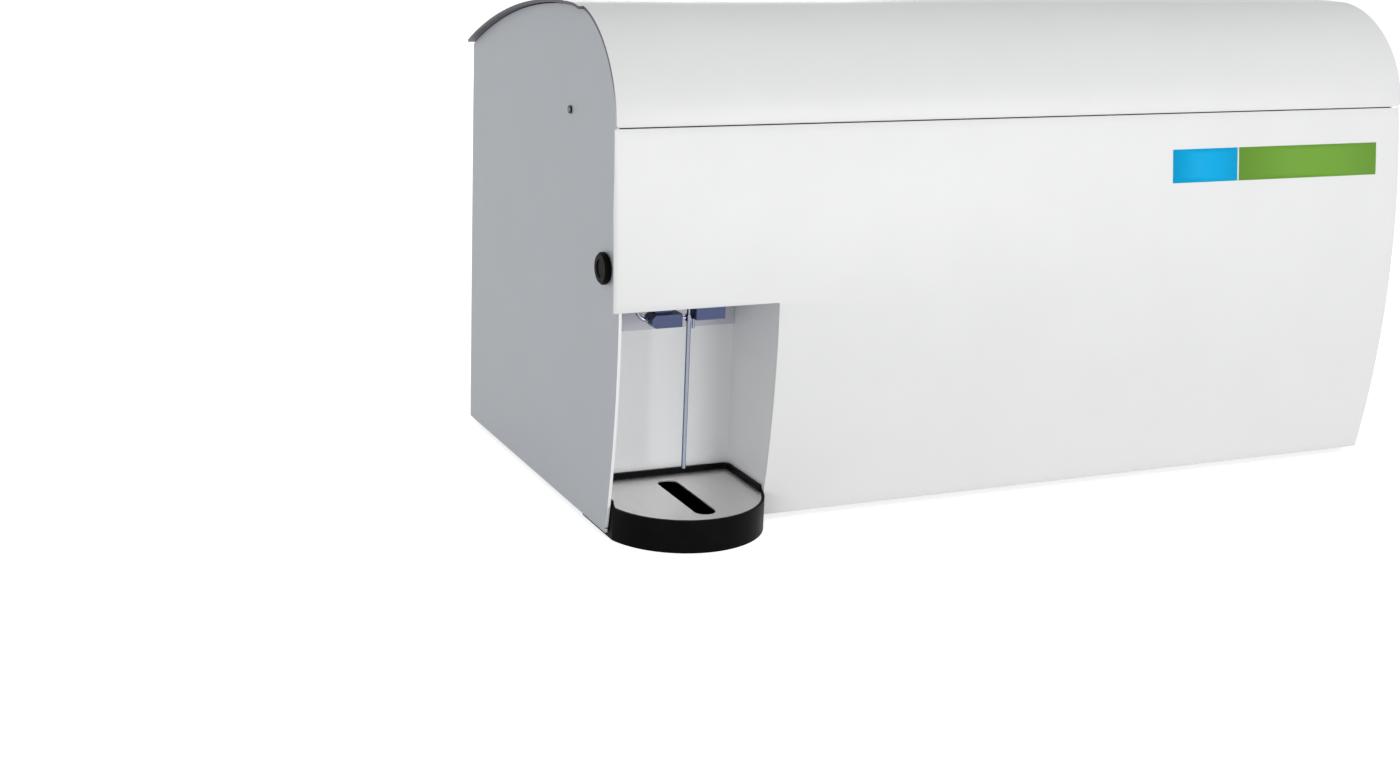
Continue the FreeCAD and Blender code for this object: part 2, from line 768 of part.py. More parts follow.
def rinse_tube():
    """A short nozzle under the right block, which washes the outside of the pipette."""
    low = bay_ceiling - nozzle_block_height
    x = holder_x()[1] + rinse_tube_diameter / 2
    tube = rod("Z", x, pipette_y, rinse_tube_diameter / 2, low - rinse_tube_drop, low)
    bore = rinse_tube_diameter / 2 - pipette_wall
    return tube.cut(rod("Z", x, pipette_y, bore, low - rinse_tube_drop - 1, low + 1))


def supply_tube():
    """Out of the left block's end, up through the ceiling in one bend."""
    x_block = holder_x()[0] - holder_block_width
    z = bay_ceiling - holder_block_drop - holder_block_height / 2
    radius = supply_tube_bend
    start = Vector(x_block, pipette_y, z)
    bend_end = Vector(x_block - radius, pipette_y, z + radius)
    half = radius * math.sin(math.pi / 4)
    centre = Vector(x_block, pipette_y, z + radius)
    middle = Vector(centre.x - half, pipette_y, centre.z - half)
    path = Part.Wire([
        Part.Arc(start, middle, bend_end).toShape(),
        Part.makeLine(bend_end, Vector(bend_end.x, pipette_y, bay_ceiling + supply_tube_rise)),
    ])
    ring = Part.Wire(Part.makeCircle(supply_tube_diameter / 2, start, Vector(1, 0, 0)))
    return path.makePipeShell([ring], True, False)


def tray_outline(depth):
    """The tray's D-shaped outline as a face at the bench, moved inwards by a depth."""
    x0 = inner_left + tray_clearance + depth
    x1 = bay_right - tray_clearance - depth
    y1 = bay_back - tray_back_gap - depth
    cx, cy = tray_centre()
    radius = tray_front_radius - depth
    side_y = cy - math.sqrt(radius ** 2 - (x1 - cx) ** 2)
    corner = tray_corner - depth * 0.6
    bow = corner * (1 - math.sqrt(0.5))
    points = [Vector(x0, side_y, 0), Vector(x0, y1 - corner, 0), Vector(x0 + corner, y1, 0),
              Vector(x1 - corner, y1, 0), Vector(x1, y1 - corner, 0), Vector(x1, side_y, 0)]
    edges = [
        Part.makeLine(points[0], points[1]),
        Part.Arc(points[1], Vector(x0 + bow, y1 - bow, 0), points[2]).toShape(),
        Part.makeLine(points[2], points[3]),
        Part.Arc(points[3], Vector(x1 - bow, y1 - bow, 0), points[4]).toShape(),
        Part.makeLine(points[4], points[5]),
        Part.Arc(points[5], Vector(cx, cy - radius, 0), points[0]).toShape(),
    ]
    return Part.Face(Part.Wire(edges))


def tray_centre():
    return (inner_left + bay_right) / 2, front + tray_centre_setback


def tray_solid(depth, z0, z1):
    face = tray_outline(depth)
    face.translate(Vector(0, 0, z0))
    return face.extrude(Vector(0, 0, z1 - z0))


def drip_tray():
    tray = tray_solid(0, 0, tray_height)
    tray = tray.cut(tray_solid(tray_wall, tray_floor, tray_height + 1))
    cx, cy = tray_centre()
    side_y = cy - math.sqrt(tray_front_radius ** 2 - (bay_right - tray_clearance - cx) ** 2)
    step_y = side_y + tray_step_setback
    low_front = box(left, bay_right, front - tray_front_radius, step_y, tray_front_height, tray_height + 1)
    low_front = fillet_at(low_front, tray_step_radius, lambda e: along(e, "X", step_y, tray_front_height))
    tray = tray.cut(low_front)
    ledge_top = tray_height - plate_recess - plate_thickness
    ledge = tray_solid(tray_wall / 2, ledge_top - ledge_height, ledge_top)
    ledge = ledge.cut(tray_solid(tray_wall + ledge_width, ledge_top - ledge_height - 1, ledge_top + 1))
    return {"drip_tray": fuse([tray, ledge])}


def tray_plate():
    top = tray_height - plate_recess
    plate = tray_solid(tray_wall + plate_clearance, top - plate_thickness, top)
    half = slot_length / 2 - slot_width / 2
    y = front + slot_setback
    slot = box(pipette_x - slot_width / 2, pipette_x + slot_width / 2, y - half, y + half, 0, top + 1)
    for end in (y - half, y + half):
        slot = slot.fuse(rod("Z", pipette_x, end, slot_width / 2, 0, top + 1))
    return {"tray_plate": plate.cut(slot)}


def knobs():
    """Thumb knobs with their shafts, which clamp the ears of the front cover."""
    shapes = {}
    y = front + knob_setback
    for name, (face, way) in knob_places().items():
        near = face + way * knob_gap
        far = near + way * knob_thickness
        disc = rod("X", y, knob_height, knob_diameter / 2, min(near, far), max(near, far))
        disc = disc.makeChamfer(knob_chamfer, [e for e in disc.Edges if e.Closed])
        dish = far - way * knob_dish_depth
        disc = disc.cut(rod("X", y, knob_height, knob_diameter / 2 - knob_rim, min(dish, far), max(dish, far)))
        end = face - way * (panel_thickness + ear_thickness + knob_shaft_end)
        shaft = rod("X", y, knob_height, knob_shaft_diameter / 2, min(end, near), max(end, near))
        collar_a = face - way * (panel_thickness + ear_thickness + 2 * bend_gap)
        collar = rod("X", y, knob_height, knob_shaft_diameter, min(end, collar_a), max(end, collar_a))
        shapes[name + "_knob"] = fuse([disc, shaft, collar])
    return shapes


def tie_bar():
    """A round bar between the side panels, held by a screw through each of them."""
    y, z = front + tie_bar_setback, tie_bar_height
    bar = rod("X", y, z, tie_bar_diameter / 2, inner_left, inner_right)
    hole_depth = screw_reach + screw_end
    bar = bar.cut(rod("X", y, z, screw_shank_diameter / 2, inner_left, inner_left + hole_depth))
    bar = bar.cut(rod("X", y, z, screw_shank_diameter / 2, inner_right - hole_depth, inner_right))
    return {"tie_bar": bar}


def panel_screws():
    """Cap screws: one through each side panel into the tie bar, and four in the connector panel."""
    radius, shank = screw_head_diameter / 2, screw_shank_diameter / 2
    screws = [
        socket_screw("X", front + tie_bar_setback, tie_bar_height, face, way, panel_thickness + screw_reach,
                     radius, screw_head_height, shank)
        for face, way in knob_places().values()
    ]
    for x, z in connector_screw_places():
        screws.append(socket_screw("Y", x, z, connector_face, 1, 2 * sheet + screw_end, radius,
                                   screw_head_height, shank))
    return {"panel_screws": Part.makeCompound(screws)}


def vents(y0, y1):
    cuts = []
    for i in range(vent_count):
        z = vent_z + (i - (vent_count - 1) / 2) * vent_pitch
        half = vent_width / 2
        slot = box(vent_x - vent_length + half, vent_x + vent_length - half, y0, y1, z - half, z + half)
        for x in (vent_x - vent_length + half, vent_x + vent_length - half):
            slot = slot.fuse(rod("Y", x, z, half, y0, y1))
        cuts.append(slot)
    return cuts


def rear_panel():
    y0, y1 = rear - sheet, rear
    top = panel_top_rear - panel_top_gap
    panel = box(inner_left + bend_gap, inner_right - bend_gap, y0, y1, bottom, top)
    for side in (-1, 1):
        edge = side * (casing_width / 2 - panel_thickness - bend_gap)
        inner = edge - side * sheet
        panel = panel.fuse(box(min(edge, inner), max(edge, inner), y0 - pan_flange, y1,
                               floor + pan_flange + bend_gap, top - pan_flange / 2))
    cuts = vents(y0 - 1, y1 + 1)
    cuts.append(rod("Y", fan_x, fan_z, fan_size / 2 - fan_rim, y0 - 1, y1 + 1))
    x0, x1, z0, z1 = connector_window()
    cuts.append(box(x0, x1, y0 - 1, y1 + 1, z0, z1))
    for x, z in connector_screw_places():
        cuts.append(rod("Y", x, z, screw_shank_diameter / 2, y0 - 1, y1 + 1))
    for x in hose_port_places():
        cuts.append(rod("Y", x, hose_port_z, hose_body_radius + hose_hole_gap, y0 - 1, y1 + 1))
    return {"rear_panel": panel.removeSplitter().cut(Part.makeCompound(cuts))}


def hose_port_places():
    return [hose_port_x + i * hose_port_pitch for i in range(hose_port_count)]


def hose_ports():
    """Barbed bulkhead fittings, each with its nut inside the panel."""
    fittings = []
    for x in hose_port_places():
        inside = rear - sheet - hose_nut_length
        parts = [
            rod("Y", x, hose_port_z, hose_body_radius, inside - hose_nut_length, rear + hose_nut_length),
            rod("Y", x, hose_port_z, hose_tail_radius, rear, rear + hose_tail_length),
            hexagon(x, hose_port_z, hose_nut_radius, rear, rear + hose_nut_length),
            hexagon(x, hose_port_z, hose_nut_radius, inside, rear - sheet),
        ]
        for i in range(hose_barbs):
            y = rear + hose_nut_length + 2 + hose_barb_pitch * i
            parts.append(Part.makeCone(hose_tail_radius + 1, hose_tail_radius, hose_tail_radius,
                                       Vector(x, y, hose_port_z), Vector(0, 1, 0)))
        bore = rod("Y", x, hose_port_z, hose_bore_radius, inside - 20, rear + 20)
        fittings.append(fuse(parts).cut(bore))
    return {"hose_ports": Part.makeCompound(fittings)}


def hexagon(x, z, radius, y0, y1):
    turns = [math.radians(60 * i) for i in range(6)]
    points = [Vector(x + radius * math.cos(t), y0, z + radius * math.sin(t)) for t in turns]
    return prism(points, Vector(0, y1 - y0, 0))


def connector_window():
    """The window in the rear panel behind the mains inlet and the data ports."""
    margin = connector_window_margin
    return (port_x - port_width / 2 - margin, inlet_x + inlet_width / 2 + margin,
            inlet_z - inlet_height / 2 - margin, inlet_z + inlet_height / 2 + margin)


def connector_screw_places():
    x0, x1, z0, z1 = connector_window()
    half = connector_lap / 2
    return [(x, z) for x in (x0 - half, x1 + half) for z in (z0 - half, z1 + half)]


def connector_panel():
    """A plate over the window, which carries the mains inlet and the data ports."""
    x0, x1, z0, z1 = connector_window()
    lap = connector_lap
    plate = box(x0 - lap, x1 + lap, rear, connector_face, z0 - lap, z1 + lap)
    plate = fillet_at(plate, lap / 2, lambda e: len(e.Vertexes) == 2 and abs(e.Length - sheet) < 0.01)
    half_width, half_height = inlet_width / 2, inlet_height / 2
    cuts = [
        box(inlet_x - half_width, inlet_x + half_width, rear - 1, connector_face + 1,
            inlet_z - half_height, inlet_z + half_height),
        box(port_x - port_width / 2, port_x + port_width / 2, rear - 1, connector_face + 1,
            port_z - port_height / 2, port_z + port_height / 2),
    ]
    for x, z in connector_screw_places():
        cuts.append(rod("Y", x, z, screw_shank_diameter / 2 + fitting_gap, rear - 1, connector_face + 1))
    return {"connector_panel": plate.cut(Part.makeCompound(cuts))}


def socket_left():
    return inlet_x - inlet_width / 2 + fitting_gap + inlet_flange_lap


def mains_inlet():
    """Panel socket with three pins, and beside it the well of the rocker switch."""
    half_width, half_height = inlet_width / 2 - fitting_gap, inlet_height / 2 - fitting_gap
    lap, face = inlet_flange_lap, connector_face
    body = box(inlet_x - half_width, inlet_x + half_width, face - sheet - fitting_depth, face,
               inlet_z - half_height, inlet_z + half_height)
    flange = box(inlet_x - half_width - lap, inlet_x + half_width + lap, face, face + inlet_flange,
                 inlet_z - half_height - lap, inlet_z + half_height + lap)
    x0, x1 = socket_left(), socket_left() + socket_width
    z0, z1 = inlet_z - socket_height / 2, inlet_z + socket_height / 2
    mouth, c = face + inlet_flange + 1, socket_chamfer
    outline = [(x0, z0), (x1, z0), (x1, z1 - c), (x1 - c, z1), (x0 + c, z1), (x0, z1 - c)]
    socket = prism([Vector(x, face - socket_depth, z) for x, z in outline],
                   Vector(0, mouth - face + socket_depth, 0))
    pins = []
    for i, z in ((-1, inlet_z - pin_offset), (0, inlet_z + pin_offset), (1, inlet_z - pin_offset)):
        x = (x0 + x1) / 2 + i * pin_spacing
        pins.append(box(x - pin_thickness / 2, x + pin_thickness / 2, face - socket_depth - 1,
                        face - socket_depth + pin_length, z - pin_height / 2, z + pin_height / 2))
    x, z = switch_centre()
    half_width, half_height = switch_width / 2 + switch_well_gap, switch_height / 2 + switch_well_gap
    well = box(x - half_width, x + half_width, face - switch_well_depth, mouth, z - half_height, z + half_height)
    pivot = rod("X", face - switch_pivot_depth, z, switch_pivot_radius, x - half_width - 0.5, x + half_width + 0.5)
    return {"mains_inlet": fuse([body.fuse(flange).cut(socket).cut(well), pivot] + pins)}


def switch_centre():
    return inlet_x + inlet_width / 2 - switch_width / 2 - switch_edge, inlet_z


def rocker_switch():
    """A rocker: a bar with two faces at a shallow angle, on a pivot along X."""
    x, z = switch_centre()
    face = connector_face
    half = switch_height / 2 - 3 * switch_well_gap
    root, root_depth = 4.0, 9.0
    points = [Vector(0, face - root_depth, z - root), Vector(0, face - 2, z - half), Vector(0, face + 0.2, z - half),
              Vector(0, face + 0.6, z), Vector(0, face + switch_swell, z + half), Vector(0, face - 1, z + half),
              Vector(0, face - root_depth, z + root)]
    rocker = prism(points, Vector(switch_width, 0, 0))
    rocker.translate(Vector(x - switch_width / 2, 0, 0))
    bore = rod("X", face - switch_pivot_depth, z, switch_pivot_radius + hinge_running_gap,
               x - switch_width, x + switch_width)
    return {"rocker_switch": rocker.cut(bore)}


def data_ports():
    """A block of sockets: a wide one and two narrow ones."""
    half_width, half_height = port_width / 2 - fitting_gap, port_height / 2 - fitting_gap
    body = box(port_x - half_width, port_x + half_width, connector_face - fitting_depth,
               connector_face + port_lip, port_z - half_height, port_z + half_height)
    holes = [box(port_x + middle - width / 2, port_x + middle + width / 2, connector_face - port_depth,
                 connector_face + port_lip + 1, port_z - port_socket_height / 2, port_z + port_socket_height / 2)
             for middle, width in port_sockets]
    return {"data_ports": body.cut(Part.makeCompound(holes))}


def fan():
    """An open square frame with four spokes, and the bladed rotor on the pin in its middle."""
    y1 = rear - sheet
    y0 = y1 - fan_thickness
    half = fan_size / 2
    opening = half - fan_rim
    web = y0 + fan_frame_back
    frame = box(fan_x - half, fan_x + half, y0, y1, fan_z - half, fan_z + half)
    frame = frame.cut(rod("Y", fan_x, fan_z, opening, web, y1 + 1))
    openings = rod("Y", fan_x, fan_z, opening, y0 - 1, web + 1)
    openings = openings.cut(rod("Y", fan_x, fan_z, fan_hub_radius, y0 - 2, web + 2))
    spokes = fuse([box(fan_x - half, fan_x + half, y0, web, fan_z - fan_rim, fan_z + fan_rim),
                   box(fan_x - fan_rim, fan_x + fan_rim, y0, web, fan_z - half, fan_z + half)])
    frame = frame.cut(openings.cut(spokes))
    stator = rod("Y", fan_x, fan_z, fan_shaft_radius, y0 + 1, y1 - fan_end_gap)
    hub = rod("Y", fan_x, fan_z, fan_hub_radius, web + bearing_gap, y1 - fan_end_gap / 2)
    blade = box(fan_x + fan_hub_radius - 1, fan_x + opening - fan_tip_gap, y0 + fan_end_gap, y1 - fan_end_gap,
                fan_z - fan_blade_thickness / 2, fan_z + fan_blade_thickness / 2)
    blade.rotate(Vector(fan_x, (y0 + y1) / 2, fan_z), Vector(1, 0, 0), fan_blade_lean)
    parts = [hub]
    for i in range(fan_blades):
        copy = blade.copy()
        copy.rotate(Vector(fan_x, 0, fan_z), Vector(0, 1, 0), 360 * i / fan_blades)
        parts.append(copy)
    bore = rod("Y", fan_x, fan_z, fan_shaft_radius + hinge_running_gap, y0,
               y1 - fan_end_gap + hinge_running_gap)
    return {"fan_frame": fuse([frame, stator]), "fan_rotor": fuse(parts).cut(bore)}


def fan_grille():
    """Rings of round wire with two crossed bars, on the outside of the rear panel."""
    y = rear + grille_wire / 2
    step = (fan_size / 2 - grille_wire) / grille_rings
    parts = [Part.makeTorus(step * (i + 1), grille_wire / 2, Vector(fan_x, y, fan_z), Vector(0, 1, 0))
             for i in range(grille_rings)]
    reach = fan_size / 2 + grille_reach
    half = grille_wire / 2
    parts.append(box(fan_x - reach, fan_x + reach, rear, rear + grille_wire, fan_z - half, fan_z + half))
    parts.append(box(fan_x - half, fan_x + half, rear, rear + grille_wire, fan_z - reach, fan_z + reach))
    return {"fan_grille": parts[0].multiFuse(parts[1:])}


def gear(teeth, x, z, y0, y1, phase):
    """A spur gear with straight-sided teeth; phase is the turn of its first tooth from +X."""
    pitch_radius = gear_module * teeth / 2
    root = pitch_radius - 1.2 * gear_module
    tip = pitch_radius + 0.95 * gear_module
    half = math.pi * gear_module / 4 - gear_backlash / 4
    lean = math.tan(math.radians(20))
    points = []
    for i in range(teeth):
        middle = phase + 2 * math.pi * i / teeth
        for radius, side in ((root, -1), (tip, -1), (tip, 1), (root, 1)):
            width = half - (radius - pitch_radius) * lean
            turn = middle + side * width / radius
            points.append(Vector(x + radius * math.cos(turn), y0, z + radius * math.sin(turn)))
    return prism(points, Vector(0, y1 - y0, 0))


def pump_stations():
    """Places along Y: head front, head back, crosshead front at rest, rear wall front and back."""
    head_front = front + pump_front
    head_back = head_front + pump_head_length
    crosshead_front = head_back + plunger_stroke + crosshead_end_gap
    wall = crosshead_front + crosshead_thickness + crosshead_rear_gap
    return head_front, head_back, crosshead_front, wall, wall + pump_wall


def plunger_places():
    return [pump_x + side * plunger_spacing / 2 for side in (-1, 1)]


def guide_places():
    return [pump_x + side * guide_spacing / 2 for side in (-1, 1)]


def gear_centres():
    distance = gear_module * (pinion_teeth + gear_teeth) / 2 + gear_centre_gap
    return pump_axis_height, pump_axis_height - distance


def pump_frame():
    head_front, head_back = pump_stations()[:2]
    wall, wall_back = pump_stations()[3:]
    x0, x1 = pump_x - pump_width / 2, pump_x + pump_width / 2
    z = pump_axis_height
    base = box(x0, x1, head_front, wall_back, floor, floor + pump_base)
    pedestal = box(x0 + pump_pedestal_inset, x1 - pump_pedestal_inset, head_front, head_back,
                   floor, z - pump_head_height / 2)
    rear_wall = box(x0, x1, wall, wall_back, floor, z + pump_wall_rise)
    frame = fuse([base, pedestal, rear_wall])
    screw_z, motor_z = gear_centres()
    shaft_hole = screw_radius + hinge_running_gap
    motor_hole = motor_boss_radius + bearing_gap
    frame = frame.cut(rod("Y", pump_x, screw_z, shaft_hole, wall - 1, wall_back + 1))
    frame = frame.cut(rod("Y", pump_x, motor_z, motor_hole, wall - 1, wall_back + 1))
    return {"pump_frame": frame}


def pump_head():
    """A steel block with two bores, its outlet fittings in front and its screws in the corners."""
    head_front, head_back = pump_stations()[:2]
    z = pump_axis_height
    half_width, half_height = pump_head_width / 2, pump_head_height / 2
    block = box(pump_x - half_width, pump_x + half_width, head_front, head_back, z - half_height, z + half_height)
    parts = []
    for x in plunger_places():
        block = block.cut(rod("Y", x, z, plunger_radius + plunger_gap, head_back - plunger_bore_depth, head_back + 1))
        nut_front = head_front - outlet_nut_length
        parts.append(hexagon(x, z, outlet_nut_radius, nut_front, head_front))
        parts.append(rod("Y", x, z, outlet_tube_radius, nut_front - outlet_tube_length, nut_front))
    inset = pump_head_screw_inset
    for x in (pump_x - half_width + inset, pump_x + half_width - inset):
        for screw_z in (z - half_height + inset, z + half_height - inset):
            parts.append(socket_screw("Y", x, screw_z, head_front, -1, inset, screw_head_diameter / 2,
                                      screw_shank_diameter, screw_shank_diameter / 2))
    return {"pump_head": fuse([block] + parts)}


def homogenizer_valve():
    """A spring valve on top of the head, with its adjusting nut."""
    head_front, head_back = pump_stations()[:2]
    y, z = (head_front + head_back) / 2, pump_axis_height + pump_head_height / 2
    neck = z + valve_body_height
    nut = neck + valve_neck_height
    grips = []
    for i in range(valve_nut_grips):
        turn = 2 * math.pi * i / valve_nut_grips
        reach = valve_nut_radius + 1
        grips.append(rod("Z", pump_x + reach * math.cos(turn), y + reach * math.sin(turn), valve_nut_radius / 4,
                         nut, nut + valve_nut_height))
    cap = rod("Z", pump_x, y, valve_nut_radius, nut, nut + valve_nut_height).cut(Part.makeCompound(grips))
    parts = [rod("Z", pump_x, y, valve_body_radius, z, neck), rod("Z", pump_x, y, valve_neck_radius, neck, nut), cap]
    return {"homogenizer_valve": fuse(parts)}


def guide_rods():
    head_back, wall = pump_stations()[1], pump_stations()[3]
    rods = [rod("Y", x, pump_axis_height, guide_radius, head_back, wall) for x in guide_places()]
    return {"guide_rods": Part.makeCompound(rods)}


def gear_span():
    """Front and back of the wheel and the pinion, behind the pump's rear wall."""
    start = pump_stations()[4] + gear_wall_gap
    return start, start + gear_width


def drive_screw():
    head_back = pump_stations()[1]
    wall, wall_back = pump_stations()[3:]
    screw_z = gear_centres()[0]
    start, end = gear_span()
    screw = rod("Y", pump_x, screw_z, screw_radius, head_back + screw_front_gap, end + bearing_collar)
    collar = rod("Y", pump_x, screw_z, screw_radius + bearing_collar, wall - bearing_collar - bearing_gap,
                 wall - bearing_gap)
    hub = rod("Y", pump_x, screw_z, screw_radius + gear_hub, wall_back + bearing_gap, end)
    wheel = gear(gear_teeth, pump_x, screw_z, start, end, -math.pi / 2)
    holes = []
    for i in range(gear_hole_count):
        turn = 2 * math.pi * (i + 0.5) / gear_hole_count
        holes.append(rod("Y", pump_x + gear_hole_circle * math.cos(turn), screw_z + gear_hole_circle * math.sin(turn),
                         gear_hole_radius, start - 1, end + 1))
    wheel = fuse([wheel, hub]).cut(Part.makeCompound(holes))
    wheel = wheel.cut(rod("Y", pump_x, screw_z, screw_radius, wall_back, end + 1))
    return {"ball_screw": fuse([screw, collar]), "drive_gear": wheel}


def motor():
    """The motor hangs in front of the rear wall; its shaft carries the pinion behind it."""
    wall = pump_stations()[3]
    motor_z = gear_centres()[1]
    start, end = gear_span()
    bearing = motor_shaft_radius + hinge_running_gap
    body = rod("Y", pump_x, motor_z, motor_radius, wall - motor_length, wall)
    body = body.fuse(rod("Y", pump_x, motor_z, motor_boss_radius, wall, wall + motor_boss_length))
    half = motor_cable_box / 2
    cable_box = box(pump_x - half, pump_x + half, wall - motor_length, wall - motor_length + motor_cable_box,
                    motor_z - motor_radius - half / 2, motor_z)
    body = body.fuse(cable_box)
    body = body.cut(rod("Y", pump_x, motor_z, bearing, wall - 3 * motor_boss_length, wall + 2 * motor_boss_length))
    phase = math.pi / 2 + math.pi / pinion_teeth
    pinion = gear(pinion_teeth, pump_x, motor_z, start, end, phase)
    shaft = rod("Y", pump_x, motor_z, motor_shaft_radius, wall - 3 * motor_boss_length + bearing_gap, end)
    return {"pump_motor": body.removeSplitter(), "motor_pinion": fuse([pinion, shaft])}


def crosshead():
    """The block that the screw drives along the guide rods, with the two plungers in its front."""
    head_back, start = pump_stations()[1:3]
    end = start + crosshead_thickness
    z = pump_axis_height
    half = guide_spacing / 2 + crosshead_side
    block = box(pump_x - half, pump_x + half, start, end, z - crosshead_height / 2, z + crosshead_height / 2)
    cuts = [rod("Y", x, z, guide_radius + hinge_running_gap, start - 1, end + 1) for x in guide_places()]
    cuts.append(rod("Y", pump_x, z, screw_radius + hinge_running_gap, start - 1, end + 1))
    plungers = [rod("Y", x, z, plunger_radius, head_back - plunger_entry, start) for x in plunger_places()]
    return {"crosshead": fuse([block.cut(Part.makeCompound(cuts))] + plungers)}


def peristaltic_pump():
    """A housing with a round track; three rollers press a tube flat against its lower half."""
    x, z = peristaltic_x, peristaltic_height
    y0 = front + peristaltic_setback
    y1 = y0 + peristaltic_depth
    back = y1 - peristaltic_back
    half = peristaltic_track + peristaltic_wall
    shaft = motor_shaft_radius
    bearing = shaft + hinge_running_gap
    housing = box(x - half, x + half, y0, y1, z - half, z + half)
    housing = housing.cut(rod("Y", x, z, peristaltic_track, y0 - 1, back))
    housing = housing.cut(rod("Y", x, z, bearing, back - 1, y1 + 1))
    wall = peristaltic_bracket
    bracket = box(x - half, x + half, y1, y1 + wall, floor, z - half)
    lug = box(x - half, x + half, y0, y1 + wall, floor, floor + wall)
    stand = box(x - half, x + half, y0, y1, floor + wall, z - half)
    stand = stand.cut(box(x - half + wall, x + half - wall, y0 - 1, y1 - wall, floor + wall, z - half - wall))
    shaft_end = y1 + 2 * shaft
    motor_body = rod("Y", x, z, peristaltic_motor_radius, y1, y1 + peristaltic_motor_length)
    motor_body = motor_body.cut(rod("Y", x, z, bearing, y1 - 1, shaft_end + 1))
    disc_front = y0 + peristaltic_disc_gap
    disc_back = disc_front + peristaltic_disc
    rotor = rod("Y", x, z, peristaltic_track - peristaltic_back, disc_front, disc_back)
    hub_end = back - peristaltic_disc_gap
    hub = rod("Y", x, z, peristaltic_hub_radius, disc_back, hub_end)
    parts = [rotor, hub, rod("Y", x, z, shaft, hub_end, shaft_end)]
    orbit = peristaltic_track - 2 - peristaltic_roller
    pin_end = hub_end - peristaltic_disc_gap
    rollers = []
    for i in range(peristaltic_rollers):
        turn = 2 * math.pi * i / peristaltic_rollers + math.pi / 2
        rx, rz = x + orbit * math.cos(turn), z + orbit * math.sin(turn)
        parts.append(rod("Y", rx, rz, peristaltic_pin_radius, disc_back, pin_end))
        roller = rod("Y", rx, rz, peristaltic_roller, disc_back + bend_gap, pin_end - bend_gap)
        rollers.append(roller.cut(rod("Y", rx, rz, peristaltic_pin_radius + hinge_running_gap, y0, y1)))
    tube = rod("Y", x, z, peristaltic_track - plunger_gap, disc_back + 1, pin_end - 1)
    tube = tube.cut(rod("Y", x, z, peristaltic_track - plunger_gap - peristaltic_tube_wall, disc_back, pin_end))
    tube = tube.cut(box(x - half, x + half, y0, y1, z, z + half))
    return {
        "peristaltic_housing": fuse([housing, bracket, lug, stand]),
        "peristaltic_motor": motor_body,
        "peristaltic_rotor": fuse(parts),
        "peristaltic_rollers": Part.makeCompound(rollers),
        "peristaltic_tube": tube,
    }


def bench_box():
    y = front + bench_setback
    return (bench_x - bench_width / 2, bench_x + bench_width / 2, y - bench_depth / 2, y + bench_depth / 2)


def beam_place():
    """Where the two beams cross: along Y and up."""
    return front + bench_setback, bench_height + beam_height


def optical_bench():
    """A thick plate on four rubber isolators."""
    x0, x1, y0, y1 = bench_box()
    low = bench_height - bench_thickness
    plate = box(x0, x1, y0, y1, low, bench_height)
    plate = fillet_at(plate, bench_corner, lambda e: len(e.Vertexes) == 2 and abs(e.Length - bench_thickness) < 0.01)
    mounts = []
    pad_z = low - isolator_height
    for x in (x0 + isolator_inset, x1 - isolator_inset):
        for y in (y0 + isolator_inset, y1 - isolator_inset):
            post = rod("Z", x, y, isolator_post_radius, floor, pad_z)
            mounts.append(fuse([post, rod("Z", x, y, isolator_radius, pad_z, low)]))
    return {"optical_bench": plate, "bench_mounts": Part.makeCompound(mounts)}


def interferometer():
    """Beam splitter block with a fixed mirror behind it and a moving mirror on rails beside it."""
    y, z = beam_place()
    half = splitter_half
    block = box(bench_x - half, bench_x + half, y - half, y + half, bench_height, z + splitter_top)
    block = block.cut(rod("X", y, z, beam_radius, bench_x - half - 1, bench_x + half + 1))
    block = block.cut(rod("Y", bench_x, z, beam_radius, y - half - 1, y + half + 1))
    mirror_back = y + half + fixed_mirror_thickness
    fixed = rod("Y", bench_x, z, fixed_mirror_radius, y + half, mirror_back)
    fixed = fixed.fuse(box(bench_x - fixed_mirror_half_width, bench_x + fixed_mirror_half_width, mirror_back,
                           mirror_back + fixed_mirror_foot, bench_height, z + fixed_mirror_half_width))
    return {
        "beam_splitter_block": block.removeSplitter(),
        "fixed_mirror": fixed.removeSplitter(),
        **moving_mirror(),
    }


def moving_mirror():
    """A voice coil moves the mirror's carriage along two rods."""
    y, z = beam_place()
    side = mirror_drive_half
    rail_right = bench_x - splitter_half - mirror_end_gap
    rail_left = rail_right - mirror_rail_length
    drive_right = rail_left + mirror_drive_length
    rail_z = bench_height + mirror_rail_height
    rail_ys = [y - mirror_rail_spacing / 2, y + mirror_rail_spacing / 2]
    wall = mirror_rail_radius
    drive = box(rail_left, drive_right, y - side, y + side, bench_height, z + mirror_drive_top)
    drive = drive.cut(rod("X", y, z, voice_coil_radius + voice_coil_gap, rail_left + wall, drive_right + 1))
    rails = [rod("X", rail_y, rail_z, mirror_rail_radius, drive_right, rail_right) for rail_y in rail_ys]
    end = box(rail_right, rail_right + mirror_end_block, y - side, y + side, bench_height,
              bench_height + mirror_end_height)
    x0 = drive_right + mirror_travel + mirror_end_gap
    web = x0 + carriage_web
    carriage = box(x0, x0 + carriage_length, y - side, y + side, bench_height + carriage_foot_gap,
                   rail_z + carriage_foot_rise)
    carriage = carriage.fuse(box(x0, web, y - side / 2, y + side / 2, rail_z, z))
    carriage = carriage.fuse(rod("X", y, z, carriage_disc_radius, x0, web))
    carriage = carriage.fuse(rod("X", y, z, voice_coil_radius, drive_right - voice_coil_entry, x0 + 1))
    for rail_y in rail_ys:
        bore = mirror_rail_radius + hinge_running_gap
        carriage = carriage.cut(rod("X", rail_y, rail_z, bore, rail_left, rail_right))
    return {
        "mirror_drive": fuse([drive, end] + rails),
        "mirror_carriage": carriage.removeSplitter(),
        "moving_mirror": rod("X", y, z, moving_mirror_radius, web, web + moving_mirror_thickness),
    }


